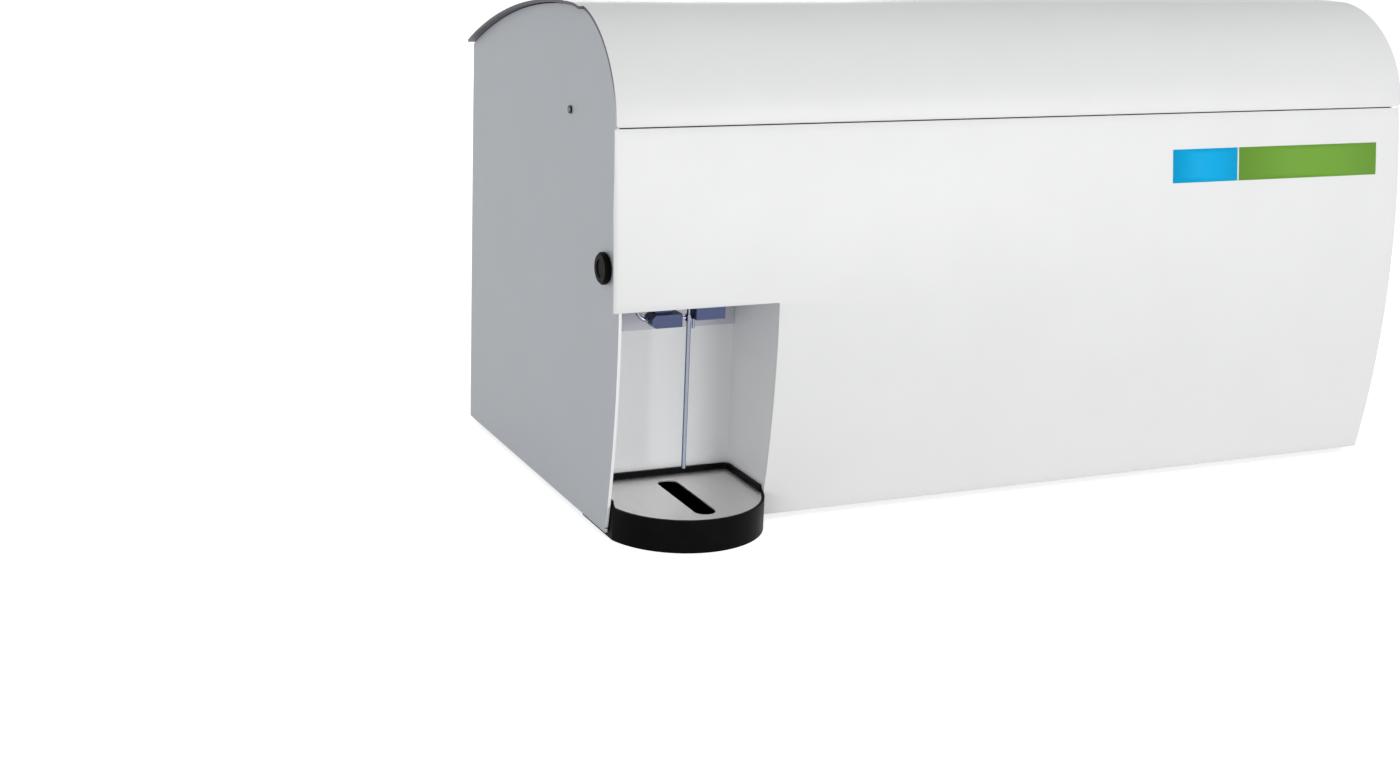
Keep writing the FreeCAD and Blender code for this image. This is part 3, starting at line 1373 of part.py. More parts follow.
def infrared_path():
    """Source with cooling fins, sample cell and detector, in line on the optical bench."""
    bench_right, bench_front = bench_box()[1:3]
    y, z = beam_place()
    source_right = bench_right - source_side_gap
    source_left = source_right - source_width
    half = source_depth / 2
    fins = [box(source_left, source_right, y - half, y + half, bench_height, z + half)]
    pitch = (source_depth - source_fin_thickness) / (source_fins - 1)
    for i in range(source_fins):
        fin_y = y - half + pitch * i
        fins.append(box(source_right - 1, source_right + source_fin_length, fin_y, fin_y + source_fin_thickness,
                        bench_height + source_fin_length, z + half))
    source = fuse(fins).cut(rod("X", y, z, source_window_radius, source_left - 1, source_left + source_width / 2))
    cell_back = y - splitter_half - cell_gap
    cell_front = cell_back - cell_depth
    cell = box(bench_x - cell_width / 2, bench_x + cell_width / 2, cell_front, cell_back, bench_height,
               z + 2 * cell_window_radius)
    cell = cell.cut(rod("Y", bench_x, z, cell_window_radius, cell_front - 1, cell_back + 1))
    ports = [rod("Z", bench_x + side * cell_width / 4, (cell_front + cell_back) / 2, cell_port_radius,
                 z + 2 * cell_window_radius, z + 2 * cell_window_radius + cell_port_length) for side in (-1, 1)]
    detector_front = bench_front + detector_edge
    detector = box(bench_x - detector_width / 2, bench_x + detector_width / 2, detector_front,
                   detector_front + detector_depth, bench_height, z + detector_width / 2)
    return {
        "infrared_source": source,
        "sample_cell": fuse([cell] + ports),
        "detector": detector,
        "reference_laser": reference_laser(),
    }


def reference_laser():
    """A laser tube in two cradles along the rear of the bench."""
    x0, y1 = bench_box()[0], bench_box()[3]
    z = beam_place()[1] - laser_drop
    y = y1 - laser_edge
    start, end = x0 + 2 * laser_cradle, bench_x - splitter_half
    laser = rod("X", y, z, laser_radius, start, end)
    half = laser_radius + 3
    for x in (start + laser_cradle, end - 2 * laser_cradle):
        laser = laser.fuse(box(x, x + laser_cradle, y - half, y + half, bench_height, z))
    return laser.removeSplitter()


def power_supply():
    """A closed supply unit with a vented cover, and its terminal strip at the left end."""
    x0, x1 = supply_x - supply_width / 2, supply_x + supply_width / 2
    y1 = rear - sheet - supply_rear_gap
    y0 = y1 - supply_depth
    top = floor + supply_height
    supply = box(x0, x1, y0, y1, floor, top)
    notch = supply_hole_pitch
    supply = supply.cut(box(x0 - 1, x0 + notch, y0 + notch, y1 - notch, floor + supply_height / 2, top + 1))
    pitch = (supply_depth - 2 * notch) / supply_terminals
    holes = []
    for i in range(int((supply_width - 3 * notch) / notch)):
        for y in (y0 + supply_depth / 3, y0 + supply_depth / 2, y0 + supply_depth * 2 / 3):
            holes.append(rod("Z", x0 + (i + 2.5) * notch, y, supply_hole_radius, top - supply_cover_depth, top + 1))
    terminals = []
    for i in range(supply_terminals):
        y = y0 + notch + pitch * i
        terminals.append(box(x0 + 2, x0 + notch, y + 1, y + pitch - 1, floor + supply_height / 2,
                             floor + supply_height / 2 + pitch))
    return fuse([supply.cut(Part.makeCompound(holes))] + terminals)


def control_board():
    """The board stands on spacers behind it, with its larger parts on its front."""
    board_back = rear - sheet - board_spacer_length
    board_front = board_back - board_thickness
    x0, x1 = board_x - board_width / 2, board_x + board_width / 2
    z0, z1 = board_bottom, board_bottom + board_height
    parts = [box(x0, x1, board_front, board_back, z0, z1)]
    for x in (x0 + board_spacer_inset, x1 - board_spacer_inset):
        for z in (z0 + board_spacer_inset, z1 - board_spacer_inset):
            parts.append(rod("Y", x, z, board_spacer_radius, board_back, rear - sheet))
    for x, z, width, height, thickness in board_parts:
        parts.append(box(board_x + x - width / 2, board_x + x + width / 2, board_front - thickness, board_front,
                         z0 + z - height / 2, z0 + z + height / 2))
    return fuse(parts)


def electronics():
    return {"power_supply": power_supply(), "control_board": control_board()}


def liquid_handling():
    """Valve manifold with its solenoids, and the finned heater that warms the sample."""
    y = front + manifold_setback
    top = floor + manifold_height
    manifold = box(manifold_x - manifold_width / 2, manifold_x + manifold_width / 2, y - manifold_length / 2,
                   y + manifold_length / 2, floor, top)
    first = y - valve_pitch * (valve_count - 1) / 2
    coils = [rod("Z", manifold_x, first + valve_pitch * i, valve_radius, top, top + valve_height)
             for i in range(valve_count)]
    heater_y = front + heater_setback
    heater = [rod("Z", heater_x, heater_y, heater_radius, floor, floor + heater_height)]
    for i in range(heater_fins):
        low = floor + heater_fin_pitch * (i + 1)
        heater.append(rod("Z", heater_x, heater_y, heater_fin_radius, low, low + heater_fin_thickness))
    return {
        "valve_manifold": manifold,
        "valve_coils": Part.makeCompound(coils),
        "sample_heater": fuse(heater),
    }


makers = [
    side_panels, base_pan, feet, rear_panel, connector_panel, tie_bar, panel_screws, front_cover, knobs, hood, hinges,
    bay_liner, holder_rail, pipette_holder, holder_tubes, pipette, drip_tray, tray_plate,
    fan, fan_grille, mains_inlet, rocker_switch, data_ports, hose_ports,
    pump_frame, pump_head, homogenizer_valve, guide_rods, drive_screw, motor, crosshead,
    peristaltic_pump, optical_bench, interferometer, infrared_path, electronics, liquid_handling,
]

os.makedirs("parts", exist_ok=True)
count = 0
for maker in makers:
    for node, shape in maker().items():
        shape.exportStep("parts/%s.step" % node)
        count += 1
        if not shape.isValid():
            print("not valid:", node)
print("sub-parts:", count)
print("front %.2f, rear %.2f, bay right %.2f, panel top at rear %.2f" % (front, rear, bay_right, panel_top_rear))
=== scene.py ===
# %% [markdown]
# # Dressing a benchtop milk analyzer
# The analyzer is a wide painted box. Its front cover and its hood are curved sheets, and at the lower
# left a steel pipette hangs over a black drip tray. The construction model gives every piece its place;
# this script gives them their finish, and rebuilds the big curved sheets as smooth meshes.

# %% Load the frame
import json
import math

import bmesh
import bpy
from mathutils import Matrix, Vector


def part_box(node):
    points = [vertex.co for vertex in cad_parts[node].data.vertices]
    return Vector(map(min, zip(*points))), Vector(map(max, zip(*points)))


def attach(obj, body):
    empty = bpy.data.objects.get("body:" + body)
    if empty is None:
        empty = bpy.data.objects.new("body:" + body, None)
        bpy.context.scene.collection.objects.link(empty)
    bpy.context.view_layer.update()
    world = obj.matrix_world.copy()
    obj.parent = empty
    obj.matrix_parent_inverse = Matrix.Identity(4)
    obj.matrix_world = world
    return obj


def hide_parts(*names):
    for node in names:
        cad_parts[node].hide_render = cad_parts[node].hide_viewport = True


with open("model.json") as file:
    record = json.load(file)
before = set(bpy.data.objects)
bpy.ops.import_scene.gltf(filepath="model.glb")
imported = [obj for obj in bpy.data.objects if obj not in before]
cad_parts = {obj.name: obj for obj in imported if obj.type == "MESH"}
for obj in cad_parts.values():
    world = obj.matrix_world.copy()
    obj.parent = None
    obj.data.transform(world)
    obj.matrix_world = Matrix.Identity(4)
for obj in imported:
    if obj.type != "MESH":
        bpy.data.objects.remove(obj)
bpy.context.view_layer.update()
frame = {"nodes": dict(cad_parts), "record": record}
nodes = frame["nodes"]
mm = 0.001

# %% [markdown]
# ## Sizes that the meshes share
# The frame gives the corners of each piece. The radii of the two curved sheets cannot be read from
# corners, so they are repeated here, in metres, as the values that the real sheets were rolled to.

# %% Sizes of the rolled sheets
front_radius = 1013 * mm
bulge_height = 212 * mm
hood_front_depth = 109.6 * mm
hood_rise = 105.9 * mm
hood_roundness = 1.85
roof_radius = 768 * mm
print("radii in metres:", front_radius, roof_radius)

# %% [markdown]
# The centres of the two arcs, and the seam between the sheets, follow from these sizes and the corners.

# %% Places taken from the frame
cover_low, cover_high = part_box("front_cover")
hood_low, hood_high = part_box("hood")
panel_low, panel_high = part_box("left_side_panel")
cover_arc_y = cover_low.y + front_radius
seam_height = hood_high.z - hood_rise
seam_y = cover_arc_y - math.sqrt(front_radius ** 2 - (seam_height - bulge_height) ** 2)
apex_y = seam_y + hood_front_depth
roof_centre = hood_high.z - roof_radius
rear = panel_high.y
print("seam at y %.4f z %.4f, apex at y %.4f" % (seam_y, seam_height, apex_y))

# %% [markdown]
# ## The camera
# The photograph was taken from the left and a little above, with a normal lens. Position, angles and
# focal length were worked out from the casing's straight edges. The lens is slightly shifted, because
# the published picture is cut from a larger one.

# %% What the photograph says of its camera
picture_width, picture_height = 1400, 782
focal_pixels = 2003.1
centre_pixel = (701.6, 348.0)
yaw, pitch, roll = math.radians(24.92), math.radians(-14.47), math.radians(2.2)
camera_place = Vector((-1169.3, -1901.5, 673.7)) * mm
print("camera stands at", tuple(camera_place))

# %% [markdown]
# Yaw and pitch give the line of sight. Roll then turns the picture about that line.

# %% The camera's three directions
forward = Vector((math.sin(yaw) * math.cos(pitch), math.cos(yaw) * math.cos(pitch), math.sin(pitch)))
level_right = Vector((math.cos(yaw), -math.sin(yaw), 0))
level_up = level_right.cross(forward)
camera_right = level_right * math.cos(roll) + level_up * math.sin(roll)
camera_up = level_up * math.cos(roll) - level_right * math.sin(roll)
print("line of sight:", tuple(forward))

# %% [markdown]
# A camera in Blender looks along its own -Z, so its matrix has right, up and the reverse of the line
# of sight as columns. The focal length is scaled from pixels to millimetres on the sensor.

# %% Camera
camera_data = bpy.data.cameras.new("camera")
camera_data.sensor_width = 36
camera_data.lens = focal_pixels * camera_data.sensor_width / picture_width
camera_data.shift_x = (picture_width / 2 - centre_pixel[0]) / picture_width
camera_data.shift_y = (centre_pixel[1] - picture_height / 2) / picture_width
camera_data.clip_end = 50
camera = bpy.data.objects.new("camera", camera_data)
camera.matrix_world = Matrix((camera_right, camera_up, -forward)).transposed().to_4x4()
camera.location = camera_place
bpy.context.scene.collection.objects.link(camera)
bpy.context.scene.camera = camera
print("lens %.1f mm" % camera_data.lens)

# %% [markdown]
# ## Writing materials as formulas
# A material is a small program. Its nodes are easier to read as formulas, so one class wraps an output
# socket and answers to +, - and *, and each sign adds the Math node that does it.

# %% Sockets that stand in formulas
class Wire:
    """An output socket that can stand in a sum or a product."""

    def __init__(self, recipe, socket):
        self.recipe = recipe
        self.socket = socket

    def math(self, operation, *values):
        return self.recipe.node("ShaderNodeMath", {"operation": operation}, dict(enumerate(values)))

    def __add__(self, other):
        return self.math("ADD", self, other)

    def __radd__(self, other):
        return self.math("ADD", other, self)

    def __sub__(self, other):
        return self.math("SUBTRACT", self, other)

    def __rsub__(self, other):
        return self.math("SUBTRACT", other, self)

    def __mul__(self, other):
        return self.math("MULTIPLY", self, other)

    def __rmul__(self, other):
        return self.math("MULTIPLY", other, self)

    def rise(self, low, high):
        """Nothing below low, one above high, and a smooth step between them."""
        sockets = {"Value": self, "From Min": low, "From Max": high}
        return self.recipe.node("ShaderNodeMapRange", {"interpolation_type": "SMOOTHSTEP"}, sockets)


# %% [markdown]
# Every other node comes from one method: it takes the node's kind, its settings, and the values or
# links of its sockets. The same class lays out materials and the world.

# %% A recipe for a material or the world
class Recipe:
    """One material, or the world, while its nodes are laid out."""

    def __init__(self, name, family=bpy.data.materials, output="ShaderNodeOutputMaterial"):
        self.owner = family.new(name)
        self.owner.use_nodes = True
        self.tree = self.owner.node_tree
        self.tree.nodes.clear()
        self.output = output

    def node(self, kind, settings=None, sockets=None, output=0):
        """Adds a node, sets it up, fills its sockets and returns one of its outputs."""
        made = self.tree.nodes.new(kind)
        for name, value in (settings or {}).items():
            setattr(made, name, value)
        for name, value in (sockets or {}).items():
            if isinstance(value, Wire):
                self.tree.links.new(value.socket, made.inputs[name])
            else:
                made.inputs[name].default_value = value
        return Wire(self, made.outputs[output])

    def close(self, shader):
        """Links the shader to the output and hands back the material or the world."""
        out = self.tree.nodes.new(self.output)
        self.tree.links.new(shader.socket, out.inputs["Surface"])
        return self.owner


# %% [markdown]
# ## Floor and soft light
# The object stands on plain pale paper, and a pale world fills its shadows. The paper and the world
# look white to the camera and to gloss by way of Light Path, so no lamp has to burn them out, and the
# paper still holds the object's shadow.

# %% Rays that see white
def seen_directly(recipe):
    """One for rays from the camera, from gloss and through clear matter; nought for soft light."""
    rays = ("Is Camera Ray", "Is Glossy Ray", "Is Transmission Ray")
    camera_ray, glossy_ray, clear_ray = [recipe.node("ShaderNodeLightPath", output=ray) for ray in rays]
    return camera_ray + glossy_ray + clear_ray


# %% [markdown]
# The paper is matt. For the rays that see it directly, a glow is added on top.

# %% Paper
paper_colour = (0.76, 0.76, 0.76, 1)
paper_glow = 0.72
paper = Recipe("paper")
lit_paper = paper.node("ShaderNodeBsdfDiffuse", {}, {"Color": paper_colour})
glow = paper.node("ShaderNodeEmission", {}, {"Color": (1, 1, 1, 1), "Strength": paper_glow})
white_paper = paper.node("ShaderNodeAddShader", {}, {0: lit_paper, 1: glow})
paper_mix = {0: seen_directly(paper), 1: lit_paper, 2: white_paper}
floor_material = paper.close(paper.node("ShaderNodeMixShader", {}, paper_mix))
print("nodes in the paper:", len(paper.tree.nodes))

# %% [markdown]
# The floor is one square, so large that its edge stays out of the picture.

# %% Floor
floor_reach = 15.0
floor_mesh = bpy.data.meshes.new("floor")
floor_corners = [(-floor_reach, -floor_reach, 0), (floor_reach, -floor_reach, 0),
                 (floor_reach, floor_reach, 0), (-floor_reach, floor_reach, 0)]
floor_mesh.from_pydata(floor_corners, [], [(0, 1, 2, 3)])
floor_mesh.materials.append(floor_material)
floor = bpy.data.objects.new("floor", floor_mesh)
bpy.context.scene.collection.objects.link(floor)
print("floor reaches %.0f m each way" % floor_reach)

# %% [markdown]
# The world lights the object at half strength, and is plain white where it is seen directly.

# %% World
fill_strength = 0.50
studio = Recipe("studio", bpy.data.worlds, "ShaderNodeOutputWorld")
fill_sockets = {"Color": (0.96, 0.98, 1.0, 1), "Strength": fill_strength}
fill_light = studio.node("ShaderNodeBackground", {}, fill_sockets)
white_wall = studio.node("ShaderNodeBackground", {}, {"Color": (1, 1, 1, 1), "Strength": 1.0})
studio_mix = {0: seen_directly(studio), 1: fill_light, 2: white_wall}
bpy.context.scene.world = studio.close(studio.node("ShaderNodeMixShader", {}, studio_mix))
bpy.context.scene.view_settings.view_transform = "Standard"
print("nodes in the world:", len(studio.tree.nodes))

# %% [markdown]
# One large softbox hangs at the right in front of the object, which leaves its left side in half shade
# as in the photograph. A weaker one fills from the left, a faint one hangs over the roof, and one
# behind lights the rear for whoever walks round the object.

# %% Lamps
def softbox(name, place, target, size, watts):
    """An area lamp that faces a point, like a softbox on a stand."""
    data = bpy.data.lights.new(name, "AREA")
    data.shape, data.energy = "RECTANGLE", watts
    data.size, data.size_y = size
    lamp = bpy.data.objects.new(name, data)
    lamp.location = place
    lamp.rotation_euler = (Vector(target) - Vector(place)).to_track_quat("-Z", "Y").to_euler()
    bpy.context.scene.collection.objects.link(lamp)
    print(name, watts, "W")


softbox("key_softbox", (1.5, -4.3, 0.72), (0.1, 0, 0.22), (2.6, 1.2), 85)
softbox("left_softbox", (-3.6, -3.3, 0.75), (-0.3, -0.1, 0.2), (1.6, 1.2), 32)
softbox("top_softbox", (0.3, 0.1, 2.9), (0, 0, 0.3), (2.2, 1.4), 4)
softbox("rear_softbox", (0.9, 4.3, 1.0), (0, 0.1, 0.2), (2.6, 1.2), 38)

# %% [markdown]
# ## The curves of the casing
# The front is an arc of a large circle. A point may also lie some way inside the surface, which the
# skirts, the ears and the stiffeners need.

# %% Curve of the front
def front_y(z, depth=0.0):
    return cover_arc_y - math.sqrt((front_radius - depth) ** 2 - (z - bulge_height) ** 2)


def cover_curve(z, depth):
    return front_y(z, depth), z


print("front at its furthest: y %.4f" % front_y(bulge_height))

# %% [markdown]
# Above the seam the hood turns over in a quarter of a superellipse, and a second arc falls to the
# rear. The power is a little below 2, so the quarter is slightly flatter than an ellipse.

# %% Curves of the hood
def hood_front_point(turn, depth=0.0):
    """The quarter superellipse: turn runs from 0 at the seam to a right angle at the top."""
    u = max(math.cos(turn), 0.0) ** (2 / hood_roundness)
    w = max(math.sin(turn), 0.0) ** (2 / hood_roundness)
    slope_u = u ** (hood_roundness - 1) / hood_front_depth
    slope_w = w ** (hood_roundness - 1) / hood_rise
    size = math.hypot(slope_u, slope_w)
    y = seam_y + hood_front_depth * (1 - u) + depth * slope_u / size
    return y, seam_height + hood_rise * w - depth * slope_w / size


def roof_point(y, depth=0.0):
    return y, roof_centre + math.sqrt((roof_radius - depth) ** 2 - (y - apex_y) ** 2)


print("roof at the rear: z %.4f" % roof_point(rear)[1])

# %% [markdown]
# Both curves together are measured by the distance from the seam. The quarter's length is taken as that
# of a circle of middle size, which is near enough to spread the rows of the mesh along it.

# %% The whole hood by its distance from the seam
quarter_length = math.pi / 2 * (hood_front_depth + hood_rise) / 2


def hood_curve(v, depth):
    if v < quarter_length:
        return hood_front_point(math.pi / 2 * v / quarter_length, depth)
    return roof_point(apex_y + v - quarter_length, depth)


print("quarter turn: %.4f long" % quarter_length)

# %% [markdown]
# ## From a draft to a piece
# Each new piece is drafted with bmesh, becomes a mesh, and then rides on a body of the frame, so that it
# moves with it. Faces are smoothed only where they meet at a low angle.

# %% Meshes and objects
sharp_angle = math.radians(30)


def to_mesh(draft, name):
    mesh = bpy.data.meshes.new(name)
    draft.to_mesh(mesh)
    draft.free()
    return mesh


def make_object(name, mesh, body):
    """A mesh as a named piece that moves with a body of the frame."""
    for polygon in mesh.polygons:
        polygon.use_smooth = True
    mesh.set_sharp_from_angle(angle=sharp_angle)
    piece = bpy.data.objects.new(name, mesh)
    bpy.context.scene.collection.objects.link(piece)
    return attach(piece, body)


# %% [markdown]
# No edge of a real sheet is perfectly sharp. Bevel breaks it, so that it catches a thin line of light.

# %% Broken edges
def soften(piece, width, segments=2):
    bevel = piece.modifiers.new("edges", "BEVEL")
    bevel.width, bevel.segments = width, segments
    bevel.limit_method, bevel.angle_limit = "ANGLE", sharp_angle
    bevel.harden_normals = False


# %% [markdown]
# A flat plate is cut to an outline, and its thickness runs along X. Here the outline is one face that is
# pushed out to the far side.

# %% A plate from its outline
def extrude_outline(name, outline, x0, x1, body):
    """A plate whose outline in the YZ plane is run along X."""
    draft = bmesh.new()
    face = draft.faces.new([draft.verts.new((x0, y, z)) for y, z in outline])
    made = bmesh.ops.extrude_face_region(draft, geom=[face])["geom"]
    far_side = [part for part in made if isinstance(part, bmesh.types.BMVert)]
    bmesh.ops.translate(draft, vec=(x1 - x0, 0, 0), verts=far_side)
    bmesh.ops.recalc_face_normals(draft, faces=draft.faces)
    return make_object(name, to_mesh(draft, name), body)


# %% [markdown]
# ## Skirts under the side panels
# Each side panel ends a little above the bench. A narrow skirt carries it further down, so that less of
# the dark gap shows under it.

# %% Skirts
panel_inset = 4.1 * mm
skirt_height, skirt_overlap = 3.6 * mm, 0.3 * mm
skirt_top, skirt_foot = panel_low.z + skirt_overlap, panel_low.z - skirt_height
skirt_outline = [(front_y(z, panel_inset), z) for z in (skirt_top, skirt_foot)]
skirt_outline += [(rear, skirt_foot), (rear, skirt_top)]
skirts = []
for side, name in ((-1, "left_panel_skirt"), (1, "right_panel_skirt")):
    skirt = extrude_outline(name, skirt_outline, side * -panel_low.x, side * -panel_high.x, "casing")
    soften(skirt, 0.25 * mm)
    skirts.append(skirt)
print("skirts end at z %.4f" % skirt_foot)

# %% [markdown]
# ## Curved sheets from flat blanks
# A rolled sheet is a flat blank that was bent. Each shell is therefore drawn flat, with its cut-out and
# its round corners, and every point is then carried onto the curve.

# %% A flat blank
def spread(start, end, count):
    return [start + (end - start) * i / count for i in range(count + 1)]


def blank_grid(columns, rows, keep=lambda x, v: True):
    """A flat grid of faces in x and v; keep says which cells stay."""
    draft = bmesh.new()
    points = [[draft.verts.new((x, v, 0)) for x in columns] for v in rows]
    for j in range(len(rows) - 1):
        for i in range(len(columns) - 1):
            if keep((columns[i] + columns[i + 1]) / 2, (rows[j] + rows[j + 1]) / 2):
                draft.faces.new((points[j][i], points[j][i + 1], points[j + 1][i + 1], points[j + 1][i]))
    for vertex in [v for v in draft.verts if not v.link_faces]:
        draft.verts.remove(vertex)
    return draft


# %% [markdown]
# When the blank is bent, fall lets its ends drop below the curve, as where a sheet's end is rolled back.
# Solidify then gives the sheet its thickness behind the face.

# %% Rounding, bending and thickening
def round_corners(draft, corners, radius, steps=6):
    """Rounds the flat blank's corners that lie at the given places."""
    picked = [v for v in draft.verts if any((v.co.xy - Vector(c)).length < 1e-6 for c in corners)]
    bmesh.ops.bevel(draft, geom=picked, offset=radius, segments=steps, affect="VERTICES", profile=0.5)


def bend(draft, name, curve, fall=lambda x: 0.0):
    """Carries the flat blank onto a curve in the YZ plane; fall says how deep its edges lie below it."""
    for vertex in draft.verts:
        y, z = curve(vertex.co.y, fall(vertex.co.x))
        vertex.co = Vector((vertex.co.x, y, z))
    return to_mesh(draft, name)


def thicken(piece, thickness):
    solid = piece.modifiers.new("thickness", "SOLIDIFY")
    solid.thickness, solid.offset, solid.use_even_offset = thickness, -1, True
    return solid


# %% [markdown]
# ## Front cover
# One rolled sheet with the sampling bay cut out of its lower left corner. The construction model's
# sheet has the same size, but its long flat facets would show as bands, so a finer mesh stands for it.
# Its columns lie close together at the two ends, which are rolled back a little.

# %% Rows and columns of the cover
liner_thickness = 1.5 * mm
bay_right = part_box("bay_liner")[1].x - liner_thickness
bay_top = 231.5 * mm
cover_top = cover_high.z
cover_rows = spread(cover_low.z, bay_top, 30) + spread(bay_top, cover_top, 22)[1:]
roll_width, roll_depth = 6 * mm, 2.2 * mm
roll_steps = [roll_width * (1 - math.cos(a)) for a in spread(0, math.pi / 2, 6)]
cover_columns = [cover_low.x + s for s in roll_steps] + spread(bay_right, cover_high.x - roll_width, 6)
cover_columns += [cover_high.x - s for s in reversed(roll_steps)][1:]
print("cover blank:", len(cover_columns), "columns,", len(cover_rows), "rows")

# %% [markdown]
# The cut-out leaves an inner corner at the top of the bay and two outer ones. All three are rounded.

# %% Blank of the cover
inner_corner, outer_corner = 1.6 * mm, 1.2 * mm
cover_blank = blank_grid(cover_columns, cover_rows, lambda x, v: x > bay_right or v > bay_top)
round_corners(cover_blank, [(bay_right, bay_top)], inner_corner)
round_corners(cover_blank, [(cover_low.x, bay_top), (bay_right, cover_low.z)], outer_corner)
print("faces in the cover's blank:", len(cover_blank.faces))

# %% [markdown]
# Near the seam the cover's left end draws in towards the end of the hood. The taper grows slowly at
# first, so that no kink shows where it starts.

# %% Taper at the left end
taper_start, taper, taper_power = 320 * mm, 3.8 * mm, 1.2
end_zone = 9 * mm
for vertex in cover_blank.verts:
    if vertex.co.x < cover_low.x + end_zone and vertex.co.y > taper_start:
        vertex.co.x += taper * ((vertex.co.y - taper_start) / (cover_top - taper_start)) ** taper_power
print("the left end draws in by %.4f" % taper)

# %% [markdown]
# Both ends fall back in a quarter of an ellipse, which softens the change from front to side.

# %% Front cover
sheet_thickness, sheet_edge = 3 * mm, 0.5 * mm


def cover_fall(x):
    inside = max(0.0, min(x - cover_low.x, cover_high.x - x, roll_width)) / roll_width
    return roll_depth * (1 - math.sqrt(1 - (1 - inside) ** 2))


cover_mesh = bend(cover_blank, "front_cover_shell", cover_curve, cover_fall)
front_cover = make_object("front_cover_shell", cover_mesh, "front_cover")
thicken(front_cover, sheet_thickness)
soften(front_cover, sheet_edge, 3)
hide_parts("front_cover")
print("front cover:", len(cover_mesh.polygons), "faces before thickness")

# %% [markdown]
# The lip behind the top edge rises a little to the rear. It hides the inside from a glance through the
# seam, and keeps daylight from the fan's opening out of it. It reaches a hair into the sheet, because
# it is welded on.

# %% Lip behind the front cover
weld_overlap = 0.1 * mm
panel_gap = 0.3 * mm
inner_x = -panel_high.x - panel_gap
lip_front = front_y(cover_top, sheet_thickness - weld_overlap)
lip_section = ((0, -3), (12, -2.2), (12, -0.2), (0, -1))
lip_outline = [(lip_front + y * mm, cover_top + z * mm) for y, z in lip_section]
cover_back = [extrude_outline("front_cover_lip", lip_outline, -inner_x, inner_x, "front_cover")]
print("lip: %.4f long" % (2 * inner_x))

# %% [markdown]
# Two ears stand behind the cover, one at each side panel. A slot in the ear takes the shank of the
# knob, and is open to the rear, so that the cover pulls off forwards.

# %% Outline of an ear
knob_low, knob_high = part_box("left_knob")
knob_y, knob_z = (knob_low.y + knob_high.y) / 2, (knob_low.z + knob_high.z) / 2
ear_reach, ear_half, slot_half = 62 * mm, 15 * mm, 3.25 * mm
ear_rear = front_y(knob_z, sheet_thickness) + ear_reach
slot_end = [(knob_y + slot_half * math.sin(a), knob_z + slot_half * math.cos(a))
            for a in spread(math.pi, 2 * math.pi, 10)]
ear_outline = [(front_y(z, sheet_thickness - weld_overlap), z)
               for z in spread(knob_z + ear_half, knob_z - ear_half, 4)]
ear_outline += [(ear_rear, knob_z - ear_half), (ear_rear, knob_z - slot_half)] + slot_end
ear_outline += [(ear_rear, knob_z + slot_half), (ear_rear, knob_z + ear_half)]
print("knob axis at y %.4f z %.4f" % (knob_y, knob_z))

# %% [markdown]
# The ears are one plate, made twice, for the left and the right. Like the lip they are painted white.

# %% Ears
ear_thickness = 2.5 * mm
for side, name in ((-1, "front_cover_left_ear"), (1, "front_cover_right_ear")):
    ear_x = side * inner_x
    cover_back.append(extrude_outline(name, ear_outline, ear_x, ear_x + side * ear_thickness, "front_cover"))
for piece in cover_back:
    soften(piece, 0.4 * mm)
print("pieces behind the cover:", len(cover_back))

# %% [markdown]
# ## Hood
# The hood is rolled the same way. Its two front corners are rounded, as the photograph shows at the
# left end of the seam. One narrow row near the top of the curve is there for the step that the next
# cell makes.

# %% Blank of the hood
hood_length = quarter_length + rear - apex_y
hood_start = 0.45 * mm
step_share, step_length = 79 / 90, 0.4 * mm
step_place = quarter_length * step_share
hood_corner = 5 * mm
hood_rows = spread(hood_start, step_place, 42) + spread(step_place + step_length, quarter_length, 6)
hood_rows += spread(quarter_length, hood_length, 30)[1:]
hood_blank = blank_grid(spread(hood_low.x, hood_high.x, 8), hood_rows)
round_corners(hood_blank, [(hood_low.x, hood_start), (hood_high.x, hood_start)], hood_corner, 8)
print("hood blank: %.4f long" % hood_length)

# %% [markdown]
# At the left the curved front ends almost flush with the side panel, and only the roof behind it
# reaches past the panel, with a small step between the two.

# %% Flush left end
flush_margin, corner_zone = 1.4 * mm, 6 * mm
flush_shift = panel_low.x - flush_margin - hood_low.x
for vertex in hood_blank.verts:
    if vertex.co.x < hood_low.x + corner_zone and vertex.co.y < step_place + step_length / 2:
        vertex.co.x += flush_shift
print("the hood's front draws in by %.4f" % flush_shift)

# %% [markdown]
# The underside and the cut edges take the second material, which a later cell adds.

# %% Hood
hood_mesh = bend(hood_blank, "hood_shell", hood_curve)
hood = make_object("hood_shell", hood_mesh, "hood")
hood_sheet = thicken(hood, sheet_thickness)
hood_sheet.material_offset = 1
hood_sheet.material_offset_rim = 1
soften(hood, sheet_edge, 3)
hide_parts("hood")
print("hood:", len(hood_mesh.polygons), "faces before thickness")

# %% [markdown]
# ## Stiffeners under the hood
# Two bars on edge follow the curve under the hood's ends and keep the sheet from twisting when one
# corner is lifted. Each is a band between two matched edges, one on the sheet and one further in.

# %% A bar between two edges
def extrude_band(name, outer, inner, x0, x1, body):
    """A curved bar between two matched edges in the YZ plane, run along X."""
    draft = bmesh.new()
    rings = [[draft.verts.new((x, y, z)) for x, (y, z) in ((x0, a), (x1, a), (x1, b), (x0, b))]
             for a, b in zip(outer, inner)]
    for ring, following in zip(rings, rings[1:]):
        for i in range(4):
            draft.faces.new((ring[i], ring[(i + 1) % 4], following[(i + 1) % 4], following[i]))
    draft.faces.new(rings[0])
    draft.faces.new(rings[-1])
    bmesh.ops.recalc_face_normals(draft, faces=draft.faces)
    return make_object(name, to_mesh(draft, name), body)


# %% [markdown]
# The bars start a little above the hood's front edge and end a little before its rear edge.

